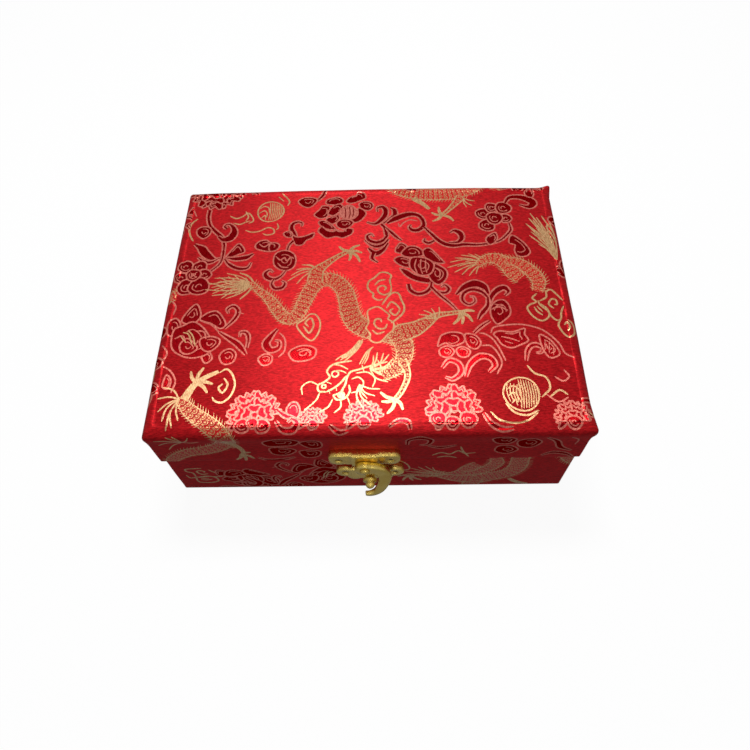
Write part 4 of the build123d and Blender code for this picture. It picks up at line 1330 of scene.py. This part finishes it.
def leftEdge(pen):
    threads(pen, "pink", motifSet["line"], [(3.4, 97), (7, 99.4), (9.4, 104), (8.4, 109)],
            [(1.6, 87), (4, 90.6), (3, 95)], [(2, 64.6), (4, 68), (3.6, 72)])
    petals(pen, [(5.4, 101), (7.6, 103.4), (7, 107), (4.6, 106)], [(18, 92), (21, 91), (22.6, 94), (20, 96)])


topGroups = (
    leftSpray, leftFlower, pearlRibbons, lanternPearl, budSpray, backPeony, scrollBranch, middlePeony,
    rightFlower, backDragon, rightMane, leftEdge, leftPeony, bigLeaves, curlBranch, rightDragon, cloudPair,
    frontRow, cornerDragon, dragonHead, mainDragon, cloudTrio, smallCloud, lowerPearl)


def frontFall(pen):
    # what hangs down the lid's front from the row above it
    dragonBody(pen, [(27, 124.4), (30.4, 129.4), (27.6, 135.6), (20.6, 139.4), (13, 141.6),
                     (6.4, 147), (4, 152)],
               [7, 7.4, 7.6, 7.4, 7, 6, 5], -1, 1.4)
    strokesFrom(pen, (14, 131), [(3.6, 129), (4, 134), (7, 138), (11, 127), (17, 127.6), (20.4, 131),
                                 (8.6, 127.2)], 0.14)
    leaf(pen, [(29, 131), (33.4, 135.6), (35.2, 141), (34, 146)], [2.6, 1.6, 1.2, 1], "gold", "gold")
    claw(pen, (34, 143.6), [(31, 149), (34.6, 150.4), (38.4, 148), (38, 142)], 0.9)
    petals(pen, [(44, 133), (48, 130), (54, 129.6), (58, 132), (56, 136), (50, 137), (45.4, 136.6)],
           [(58, 134), (62.6, 131.4), (66, 133), (66, 138), (61.6, 139)],
           [(46, 138.6), (52, 138.4), (56, 141), (52, 145), (46.6, 144)],
           [(57, 142), (61, 140.6), (65.4, 142), (64, 146.6), (59, 147.4)])
    leaf(pen, [(40, 147), (44, 149.6), (50, 149), (55, 147)], [0.8, 1.8, 1.8, 0.8])
    leaf(pen, [(99, 137), (99.6, 132), (103.6, 129.8), (107.6, 132), (107, 136.4), (103.6, 137.4)],
         [0.9, 1.9, 2.4, 2.2, 1.7, 0.8])
    leaf(pen, [(107, 138), (112, 139.6), (118, 137.6)], [0.9, 2, 0.8])
    threads(pen, "gold", 0.8, [(109, 147), (112.4, 144.6), (116, 146), (119, 143), (122, 145.6), (126, 145)],
            [(119.6, 139), (121, 143.6), (123.6, 148.6)], [(111, 149), (115, 148), (119, 149.6)])
    petals(pen, [(131, 131), (136, 129.4), (140, 132), (138, 136.4), (133, 136)],
           [(141, 134), (146, 131.4), (150, 135), (147, 140), (142, 139)],
           [(134, 139), (139, 138.6), (142, 142.4), (138, 146), (133.4, 143.6)])
    leaf(pen, [(151, 130), (155.6, 134.4), (158, 140), (163, 143.4)], [0.8, 2.2, 2.4, 0.8])
    leaf(pen, [(152, 148), (156, 145), (161.4, 146.4), (165, 150)], [0.8, 2, 2, 0.8])
    thread(pen, [(160, 130), (163.4, 133), (163, 137.6)])


# groups of motifs with their middles, laid again over the sides as woven cloth repeats them
repeats = {
    "peony": (middlePeony, (107, 48)), "scroll": (scrollBranch, (104, 27)),
    "flower": (rightFlower, (146, 20)), "spray": (leftSpray, (20, 30)), "bud": (budSpray, (47, 40)),
    "curl": (curlBranch, (131, 70)), "clouds": (cloudTrio, (90, 70)), "cloud": (smallCloud, (60, 79)),
    "dragon": (mainDragon, (76, 72)), "tail": (rightDragon, (138, 50)), "pearl": (lanternPearl, (39.5, 14.5)),
    "rose": (leftPeony, (24, 83)), "pair": (cloudPair, (158, 74)),
}


def layRepeats(cloth, places, side=None):
    # each place is a group's name, where its middle lands, its turn in degrees and whether it is mirrored
    cloth["side"] = side
    for name, x, y, turn, flip in places:
        draw, home = repeats[name]
        draw(penOn(cloth, (x, y), home, turn, flip))
    cloth["side"] = None


lidFlat = lidCloth()
topPen = penOn(lidFlat, (-lidHalf[0], lidHalf[1]))
for drawGroup in topGroups:
    drawGroup(topPen)
lidFlat["side"] = 0
frontFall(topPen)
backEdge, flankEdge = topHalf[1], topHalf[0]
layRepeats(lidFlat, [("peony", -62, backEdge + 13, 0, False), ("clouds", -34, backEdge + 14, 80, False),
                     ("scroll", 4, backEdge + 16, 0, True), ("tail", 42, backEdge + 13, 0, False),
                     ("flower", 70, backEdge + 12, 60, False), ("pearl", -14, backEdge + 18, 0, False)], 2)
layRepeats(lidFlat, [("spray", flankEdge + 14, -42, 90, False), ("clouds", flankEdge + 14, -12, 10, True),
                     ("peony", flankEdge + 13, 16, 70, False), ("bud", flankEdge + 13, 46, 180, True)], 1)
layRepeats(lidFlat, [("flower", -flankEdge - 13, 46, 100, False), ("tail", -flankEdge - 13, 18, 95, True),
                     ("rose", -flankEdge - 15, -12, 90, True), ("cloud", -flankEdge - 9, -34, 30, False),
                     ("peony", -flankEdge - 14, -48, 250, False)], 3)
print("lid motifs")
lidBrocade = clothMesh("lidBrocade", [lidFlat], placeLid)

baseFlats = [baseCloth(quarter) for quarter in range(4)]
wallMiddle = -(baseSection["run"][np.argmin(baseSection["inset"])] + baseHigh[2] / 2)
basePlaces = [
    [("pair", -68, -2, 60, False), ("peony", -52, -4, 20, False), ("rose", -30, -2, 8, True),
     ("tail", 34, 2, 180, True), ("dragon", 62, 8, 12, True), ("cloud", 10, 8, 40, False)],
    [("scroll", -34, 0, 10, False), ("clouds", 2, 0, 90, True), ("flower", 36, 0, 40, False),
     ("bud", -54, 2, 80, False)],
    [("tail", -62, 2, 0, False), ("spray", -28, 0, 90, False), ("peony", 4, 0, 0, True),
     ("cloud", 24, 2, 15, False), ("scroll", 54, 2, 0, False)],
    [("peony", -42, 0, 30, False), ("curl", -14, 0, 0, True), ("tail", 16, 0, 0, True),
     ("rose", 46, 2, 10, False)],
]
for cloth, places in zip(baseFlats, basePlaces):
    layRepeats(cloth, [(name, x, wallMiddle + y, turn, flip) for name, x, y, turn, flip in places])
baseBrocade = clothMesh("baseBrocade", baseFlats, placeBase, (0, 300), 40)


lidFlatSize = tuple(2 * (lidHalf[a] - shoulder + lidReach) for a in (0, 1))
baseFlatSize = (4 * baseHalf[0] + 4 * baseHalf[1], baseSection["run"][-1])
for obj, body, node, flat, cloths in (
        (lidBrocade, "lid", "lid_brocade", lidFlatSize, [lidFlat]),
        (baseBrocade, "base", "base_brocade", baseFlatSize, baseFlats)):
    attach(obj, body)
    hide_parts(node)
    print(obj.name, len(obj.data.polygons))
print("brocade")


# fine unevenness that several finishes share: soft blotches and small specks
grainSet = {"detail": {"Blotches": 3, "Specks": 6}, "spread": (0.3, 0.7),
            "share": {"Blotches": 0.6, "Specks": 0.4}, "rough": (0.8, 1.25), "bevelSamples": 6}


def grainGroup():
    group, source, out = newGroup("grain", "ShaderNodeTree",
                                  {"Blotches per m": "Float", "Specks per m": "Float"},
                                  {"Blotches": "Float", "Specks": "Float"})
    place = addNode(group, "ShaderNodeTexCoord").outputs["Object"]
    for result, detail in grainSet["detail"].items():
        cloud = addNode(group, "ShaderNodeTexNoise",
                        {"Detail": detail, "Vector": place, "Scale": source[result + " per m"]})
        feed(group, out, {result: cloud.outputs["Fac"]})
    return group


grain = grainGroup()


def placeGrain(tree, blotches, specks):
    return addNode(tree, "ShaderNodeGroup", node_tree=grain, inputs={
        "Blotches per m": blotches, "Specks per m": specks}).outputs


def ramp(tree, factor, low, high):
    # noise keeps to its middle values, which are spread from low to high
    first, last = grainSet["spread"]
    return addNode(tree, "ShaderNodeMapRange", {
        "Value": factor, "From Min": first, "From Max": last, "To Min": low, "To Max": high}).outputs[0]


def grainMaterial(name, dark, light, rough, metal, blotches, specks, bump, depth, roundTo=0):
    material, tree, shader = newMaterial(name)
    grains = placeGrain(tree, blotches, specks)
    both = mathNode(tree, "ADD", *(mathNode(tree, "MULTIPLY", grains[name], share)
                                   for name, share in grainSet["share"].items()))
    smoothest, roughest = (rough * share for share in grainSet["rough"])
    feed(tree, shader, {
        "Base Color": mixColour(tree, ramp(tree, both, 0, 1), dark, light), "Metallic": metal,
        "Roughness": ramp(tree, grains["Blotches"], smoothest, roughest)})
    bumps = bumpFrom(tree, grains["Specks"], shader, bump, depth)
    if roundTo:
        # pressed metal has no sharp edges
        soft = addNode(tree, "ShaderNodeBevel", {"Radius": roundTo * mm}, samples=grainSet["bevelSamples"])
        feed(tree, bumps, {"Normal": soft.outputs[0]})
    return material


# blotches and specks per metre; the bump's depth and the rounding of edges in mm
finishSet = {
    "brass": {
        "name": "polished_brass", "dark": rgb(214, 178, 78), "light": rgb(248, 222, 126), "rough": 0.18,
        "metal": 0.95, "blotches": 150, "specks": 3000, "bump": 0.2, "depth": 0.02, "roundTo": 2.4},
    # nail heads in a dark brown, far darker than the brass plates around them
    "nail": {
        "name": "dark_nail", "dark": rgb(60, 44, 22), "light": rgb(128, 98, 48), "rough": 0.35,
        "metal": 1.0, "blotches": 400, "specks": 4000, "bump": 0.4, "depth": 0.03},
    "board": {
        "name": "grey_board", "dark": rgb(126, 116, 100), "light": rgb(168, 156, 136), "rough": 0.85,
        "metal": 0, "blotches": 80, "specks": 2500, "bump": 0.5, "depth": 0.08},
    "paper": {
        "name": "underside_paper", "dark": rgb(92, 12, 16), "light": rgb(120, 20, 24), "rough": 0.75,
        "metal": 0, "blotches": 50, "specks": 3500, "bump": 0.4, "depth": 0.05},
    "foam": {
        "name": "foam", "dark": rgb(196, 180, 128), "light": rgb(232, 220, 176), "rough": 0.9,
        "metal": 0, "blotches": 120, "specks": 1800, "bump": 0.9, "depth": 0.4},
}
finishes = {finish: grainMaterial(**values) for finish, values in finishSet.items()}

satinSet = {"rows": 6.0, "float": 1.6, "blotches": 35, "specks": 600, "dark": rgb(196, 128, 16),
            "light": rgb(232, 168, 40), "worn": rgb(246, 190, 70), "wear": 0.35, "rough": (0.32, 0.42),
            "gleam": 0.6, "sheen": 0.2, "bump": 0.35, "depth": 0.04}


def satinMaterial():
    # golden yellow lining satin: long floats, a soft gleam along them
    material, tree, shader = newMaterial("lining_satin")
    woven = placeWeave(tree, satinSet["rows"], satinSet["float"])
    grains = placeGrain(tree, satinSet["blotches"], satinSet["specks"])
    colour = mixColour(tree, woven["Shade"], satinSet["dark"], satinSet["light"])
    colour = mixColour(tree, ramp(tree, grains["Blotches"], 0, satinSet["wear"]), colour, satinSet["worn"])
    feed(tree, shader, {"Base Color": colour, "Roughness": ramp(tree, grains["Specks"], *satinSet["rough"]),
                        "Anisotropic": satinSet["gleam"], "Sheen Weight": satinSet["sheen"]})
    bumpFrom(tree, woven["Height"], shader, satinSet["bump"], satinSet["depth"])
    return material


finishes["satin"] = satinMaterial()

boards = ("front_wall", "back_wall", "left_wall", "right_wall")
finishOf = {
    "brass": ("lid_plate", "base_plate", "clasp_hook", "clasp_post", "hook_rivet"),
    "nail": ("lid_plate_nails", "base_plate_nails"),
    "board": ("base_floor_board", *("base_" + part for part in boards),
              "lid_top_board", *("lid_" + part for part in boards)),
    "paper": ("underside_paper",),
}
for finish, nodes in finishOf.items():
    for node in nodes:
        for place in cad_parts[node].material_slots:
            place.material = finishes[finish]
print("plain finishes")


# lining cards: board wrapped in satin, all eight from one tree
cardSet = {"cell": 4.0, "pucker": 0.1, "puckersPerM": 90.0, "sink": 0.8, "edge": 0.42, "edgeSteps": 3,
           "sharp": 60, "clear": 0.03}


def cardTree():
    tree, source, out = newGroup("satinCard", "GeometryNodeTree", {
        "Size": "Vector", "Middle": "Vector", "Cells X": "Int", "Cells Y": "Int", "Cells Z": "Int",
        "Pucker": "Float", "Puckers per m": "Float", "Seed": "Float", "Satin": "Material"
    }, {"Geometry": "Geometry"})
    cells = {"Vertices " + axis: source["Cells " + axis] for axis in "XYZ"}
    block = addNode(tree, "GeometryNodeMeshCube", {"Size": source["Size"], **cells})
    cloud = addNode(tree, "ShaderNodeTexNoise", noise_dimensions="4D", inputs={
        "Scale": source["Puckers per m"], "W": source["Seed"],
        "Vector": addNode(tree, "GeometryNodeInputPosition").outputs[0]})
    rise = mathNode(tree, "SUBTRACT", cloud.outputs["Fac"], cardSet["sink"])
    push = addNode(tree, "ShaderNodeVectorMath", operation="SCALE", inputs={
        0: addNode(tree, "GeometryNodeInputNormal").outputs[0],
        "Scale": mathNode(tree, "MULTIPLY", rise, source["Pucker"])})
    move = addNode(tree, "ShaderNodeVectorMath", {0: push.outputs[0], 1: source["Middle"]})
    shift = addNode(tree, "GeometryNodeSetPosition",
                    {"Geometry": block.outputs["Mesh"], "Offset": move.outputs[0]})
    real = addNode(tree, "GeometryNodeRealizeInstances", {0: shift.outputs[0]})
    dress = addNode(tree, "GeometryNodeSetMaterial",
                    {"Geometry": real.outputs[0], "Material": source["Satin"]})
    feed(tree, out, {0: dress.outputs[0]})
    return tree


def fromTree(name, tree, values):
    # run a tree on an empty object and keep its result as a plain mesh
    holder = newObject(name, bpy.data.meshes.new(name + "Start"))
    modifier = holder.modifiers.new("shape", "NODES")
    modifier.node_group = tree
    sockets = {item.name: item.identifier for item in tree.interface.items_tree
               if item.item_type == "SOCKET" and item.in_out == "INPUT"}
    for key, value in values.items():
        modifier[sockets[key]] = value
    ready = holder.evaluated_get(bpy.context.evaluated_depsgraph_get())
    mesh = bpy.data.meshes.new_from_object(ready)
    holder.modifiers.clear()
    holder.data = mesh
    return holder


def boxUnwrap(mesh):
    # each face lies flat in the two directions it faces least, in millimetres
    uv = np.empty((len(mesh.loops), 2))
    points = np.array([v.co for v in mesh.vertices]) / mm
    for polygon in mesh.polygons:
        axis = int(np.argmax(np.abs(polygon.normal)))
        keep = [(1, 2), (0, 2), (0, 1)][axis]
        for loop in polygon.loop_indices:
            uv[loop] = points[mesh.loops[loop].vertex_index][list(keep)]
    layer = mesh.uv_layers.get("cloth") or mesh.uv_layers.new(name="cloth")
    layer.data.foreach_set("uv", uv.ravel())
    mesh.uv_layers.active = layer


cards = cardTree()
for number, node in enumerate(f"{half}_{side}_lining" for half in ("base", "lid")
                              for side in ("front", "back", "left", "right")):
    low, high = (np.array(c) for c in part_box(node))
    size = high - low - 2 * cardSet["clear"] * mm
    cells = [max(2, int(s / mm / cardSet["cell"])) for s in size]
    card = fromTree("card_" + node, cards, {
        "Size": tuple(size), "Middle": tuple((low + high) / 2), "Cells X": cells[0], "Cells Y": cells[1],
        "Cells Z": cells[2], "Pucker": cardSet["pucker"] * mm, "Puckers per m": cardSet["puckersPerM"],
        "Seed": float(number), "Satin": finishes["satin"]})
    boxUnwrap(card.data)
    smoothShaded(card.data)
    bevel = card.modifiers.new("softEdges", "BEVEL")
    bevel.width = cardSet["edge"] * mm
    bevel.segments = cardSet["edgeSteps"]
    bevel.limit_method = "ANGLE"
    bevel.angle_limit = math.radians(cardSet["sharp"])
    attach(card, node.split("_")[0])
    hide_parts(node)
print("lining cards")


# pads and the lid's sponge: soft slabs with rounded edges and a crown; the pads are also puffed up as cloth
def slabLines(low, high, radius, cell):
    n = max(2, round((high - low - 2 * radius) / cell))
    edge = radius * (1 - np.cos(np.linspace(0, math.pi / 2, padSet["edgeSteps"], endpoint=False)))
    return np.r_[low + edge, np.linspace(low + radius, high - radius, n + 1), (high - edge)[::-1]]


def softSlab(name, low, high, radius, cell, topWay, crown, material):
    lines = [slabLines(low[a], high[a], radius, cell) for a in range(3)]
    bm = bmesh.new()
    inner = [low + radius, high - radius]
    seen = {}

    def vertex(i, j, k):
        if (i, j, k) not in seen:
            p = np.array([lines[0][i], lines[1][j], lines[2][k]])
            q = np.clip(p, *inner)
            d = p - q
            p = q + d / max(np.linalg.norm(d), 1e-9) * radius
            seen[i, j, k] = bm.verts.new(p * mm)
        return seen[i, j, k]

    counts = [len(line) - 1 for line in lines]
    for axis in range(3):
        u, v = (axis + 1) % 3, (axis + 2) % 3
        for end in (0, counts[axis]):
            for a in range(counts[u]):
                for b in range(counts[v]):
                    corner = []
                    for da, db in ((0, 0), (1, 0), (1, 1), (0, 1)):
                        at = [0, 0, 0]
                        at[axis], at[u], at[v] = end, a + da, b + db
                        corner.append(vertex(*at))
                    bm.faces.new(corner if end else corner[::-1])
    middle = (low + high) / 2
    half = (high - low) / 2
    for vert in bm.verts:
        x, y, z = np.array(vert.co) / mm
        share = np.clip((z - low[2] if topWay > 0 else high[2] - z) / (high[2] - low[2]), 0, 1)
        sag = ((x - middle[0]) ** 2 + (y - middle[1]) ** 2) / (half[0] ** 2 + half[1] ** 2)
        vert.co.z -= topWay * crown * sag * share * mm
    mesh = bpy.data.meshes.new(name)
    bm.to_mesh(mesh)
    bm.free()
    mesh.materials.append(material)
    smoothShaded(mesh)
    return newObject(name, mesh)


pads = {
    "base_pad": {"nodes": ("base_pad_satin", "base_pad_foam"), "body": "base", "way": 1},
    "lid_pad": {"nodes": ("lid_pad_satin", "lid_pad_foam"), "body": "lid", "way": -1},
}
padSet = {
    "cell": 3.2,
    "radius": 1.6,
    "edgeSteps": 4,
    "clear": 0.05,
    "crown": 2.4,
    "puff": 0.5,
    "frames": 16,
    "pressure": 4.0,
    "quality": 4,
    "pucker": 0.22,
    "puckerReach": 7.0,
    "puckerLength": 3.5,
    "puckersFrom": 0.35,  # share of the pad's height
    "squeeze": 0.9,
    "swell": 0.25,
    "swellLength": 22,
    "seed": 4.0,
}


def puffed(obj, limit):
    # air inside a thin cloth, each point kept near its start
    start = np.array([v.co for v in obj.data.vertices])
    cloth = obj.modifiers.new("puff", "CLOTH")
    cloth.settings.use_pressure = True
    cloth.settings.uniform_pressure_force = padSet["pressure"]
    cloth.settings.effector_weights.gravity = 0
    cloth.settings.quality = padSet["quality"]
    for number in range(1, padSet["frames"] + 1):
        scene.frame_set(number)
    ready = obj.evaluated_get(bpy.context.evaluated_depsgraph_get())
    moved = np.array([v.co for v in ready.data.vertices]) - start
    obj.modifiers.clear()
    scene.frame_set(1)
    far = np.linalg.norm(moved, axis=1)[:, None]
    moved *= np.minimum(1, limit * mm / np.maximum(far, 1e-9))
    obj.data.vertices.foreach_set("co", (start + moved).ravel())


def puckered(obj, low, high, way, seed):
    # fine ridges by the edges, where the cloth is gathered, and a broad unevenness within
    for vert in obj.data.vertices:
        x, y, z = np.array(vert.co) / mm
        edge = min(x - low[0], high[0] - x, y - low[1], high[1] - y)
        if (z - low[2] if way > 0 else high[2] - z) <= padSet["puckersFrom"] * (high[2] - low[2]):
            continue
        near = math.exp(-max(edge, 0) / padSet["puckerReach"])
        fine = padSet["squeeze"] / padSet["puckerLength"]
        ridge = noise.noise(Vector((x * fine, y * fine, seed)))
        broad = noise.noise(Vector((x / padSet["swellLength"], y / padSet["swellLength"], seed + 5)))
        vert.co.z += way * (padSet["pucker"] * ridge * near + padSet["swell"] * broad * (1 - near)
                            - padSet["pucker"] * near) * mm


for number, (name, values) in enumerate(pads.items()):
    low, high = boxOf(values["nodes"][0])
    way = values["way"]
    low, high = low + padSet["clear"], high - padSet["clear"]
    room = np.array([low, high])
    if way > 0:
        high = high - (0, 0, padSet["puff"])
    else:
        low = low + (0, 0, padSet["puff"])
    pad = softSlab(name, low, high, padSet["radius"], padSet["cell"], way, padSet["crown"], finishes["satin"])
    puffed(pad, padSet["puff"])
    puckered(pad, low, high, way, padSet["seed"] + number)
    co = np.array([v.co for v in pad.data.vertices])
    pad.data.vertices.foreach_set("co", np.clip(co, room[0] * mm, room[1] * mm).ravel())
    boxUnwrap(pad.data)
    soft = pad.modifiers.new("soft", "SUBSURF")
    soft.levels = soft.render_levels = 1
    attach(pad, values["body"])
    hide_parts(*values["nodes"])
print("pads")

spongeSet = {"clear": 0.05, "radius": 2.2, "cell": 9.0, "crown": 2.1}
low, high = boxOf("lid_sponge")
sponge = softSlab("sponge", low + spongeSet["clear"], high - spongeSet["clear"], spongeSet["radius"],
                  spongeSet["cell"], 1, spongeSet["crown"], finishes["foam"])
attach(sponge, "lid")
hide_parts("lid_sponge")


# hinge cloths: strips across the seam between the two halves, with finer rows and a slight crease at the seam
hingeSet = {
    "fine": 0.6,
    "coarse": 3.0,
    "free": 3.6,       # how far above and below the seam the strips are not glued
    "lift": 0.02,
    "edge": 0.5,
    "cell": 9.0,
    "crease": 0.3,
    "creaseReach": 0.7,
    "foldDepth": 3.1,
    "foldShape": 0.8,
    "back": 0.2,
    "clear": 0.05,
    "sway": 0.25,
    "swayLength": (14, 9),
    "swayFrom": 0.3,
    "seed": 2.2,
    "thick": 0.18,
}
seam = (baseHigh[2] + lidLow[2]) / 2


def hingeHeights(low, high):
    inner = np.arange(seam - hingeSet["free"], seam + hingeSet["free"] + 1e-6, hingeSet["fine"])
    under = np.linspace(low, inner[0], round((inner[0] - low) / hingeSet["coarse"]) + 1)[:-1]
    over = np.linspace(inner[-1], high, round((high - inner[-1]) / hingeSet["coarse"]) + 1)[1:]
    return np.r_[under, inner, over]


def outerHingeCloth():
    low, high = boxOf("hinge_cloth")
    width, tall = high[0] - low[0], high[2] - low[2]
    outline = [(-width / 2, 0), (width / 2, 0), (width / 2, tall), (-width / 2, tall)]
    edge = hingeSet["edge"]
    heights = [*(hingeHeights(low[2], high[2])[1:-1] - low[2]), edge, tall - edge]
    rows = [((-width / 2, h), (width / 2, h)) for h in heights]
    middles = np.arange(-width / 2 + hingeSet["cell"], width / 2 - 1, hingeSet["cell"])
    for x in (-width / 2 + edge, *middles, width / 2 - edge):
        rows.append(((x, 0), (x, tall)))
    return newCloth(outline, rows), low, high


def placeHinge(number, flat):
    low, high = boxOf("hinge_cloth")
    x, z = flat[:, 0], flat[:, 1] + low[2]
    edge = np.minimum.reduce([high[0] - np.abs(x), z - low[2], high[2] - z])
    lift = np.clip(edge / hingeSet["edge"], 0, 1) ** 0.5
    y = low[1] + hingeSet["lift"] + (high[1] - low[1] - hingeSet["lift"]) * lift
    crease = np.exp(-((z - seam) / hingeSet["creaseReach"]) ** 2) * hingeSet["crease"]
    return np.column_stack([-x, y - crease, z])


def innerHinge():
    # the lining's strip, its slack folded into the box
    low, high = boxOf("inner_hinge_cloth")
    heights = hingeHeights(low[2], high[2])
    count = round((high[0] - low[0]) / hingeSet["cell"]) * 2
    xs = np.linspace(low[0], high[0], count + 1)
    wave = hingeSet["swayLength"]
    verts, faces, uv = [], [], []
    run = 0
    past = None
    for h in heights:
        share = min(1, abs(h - seam) / hingeSet["free"])
        bulge = hingeSet["foldDepth"] * math.cos(share * math.pi / 2) ** hingeSet["foldShape"]
        y = high[1] - hingeSet["back"] - bulge
        if past:
            run += math.dist(past, (y, h))
        past = (y, h)
        for x in xs:
            sway = 0
            if bulge > hingeSet["swayFrom"]:
                sway = hingeSet["sway"] * noise.noise(Vector((x / wave[0], h / wave[1], hingeSet["seed"])))
            verts.append((x, min(y + sway, high[1] - hingeSet["clear"]), h))
            uv.append((x, run))
    wide = len(xs)
    for i in range(len(heights) - 1):
        for j in range(wide - 1):
            a = i * wide + j
            faces.append((a, a + 1, a + wide + 1, a + wide))
    mesh = bpy.data.meshes.new("innerHinge")
    mesh.from_pydata(np.array(verts) * mm, [], faces)
    layer = mesh.uv_layers.new(name="cloth")
    for loop in mesh.loops:
        layer.data[loop.index].uv = uv[loop.vertex_index]
    mesh.materials.append(finishes["satin"])
    smoothShaded(mesh)
    obj = newObject("innerHinge", mesh)
    solid = obj.modifiers.new("thickness", "SOLIDIFY")
    solid.thickness = hingeSet["thick"] * mm
    solid.offset = -1
    return obj, (high[0] - low[0], run)


hingeFlat, low, high = outerHingeCloth()
hingeMiddle = (high[2] - low[2]) / 2
layRepeats(hingeFlat, [("scroll", -52, hingeMiddle, 0, False), ("clouds", -14, hingeMiddle, 80, False),
                       ("flower", 18, hingeMiddle, 40, False), ("scroll", 54, hingeMiddle, 0, True)])
hinge = clothMesh("hingeStrip", [hingeFlat], placeHinge, (11, 500))
hingeSize = (high[0] - low[0], high[2] - low[2])
innerStrip, innerSize = innerHinge()
for obj, slot, node, size in ((hinge, "brocade", "hinge_cloth", hingeSize),
                              (innerStrip, "satin", "inner_hinge_cloth", innerSize)):
    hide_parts(node)
    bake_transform(obj)
print("hinge cloths")
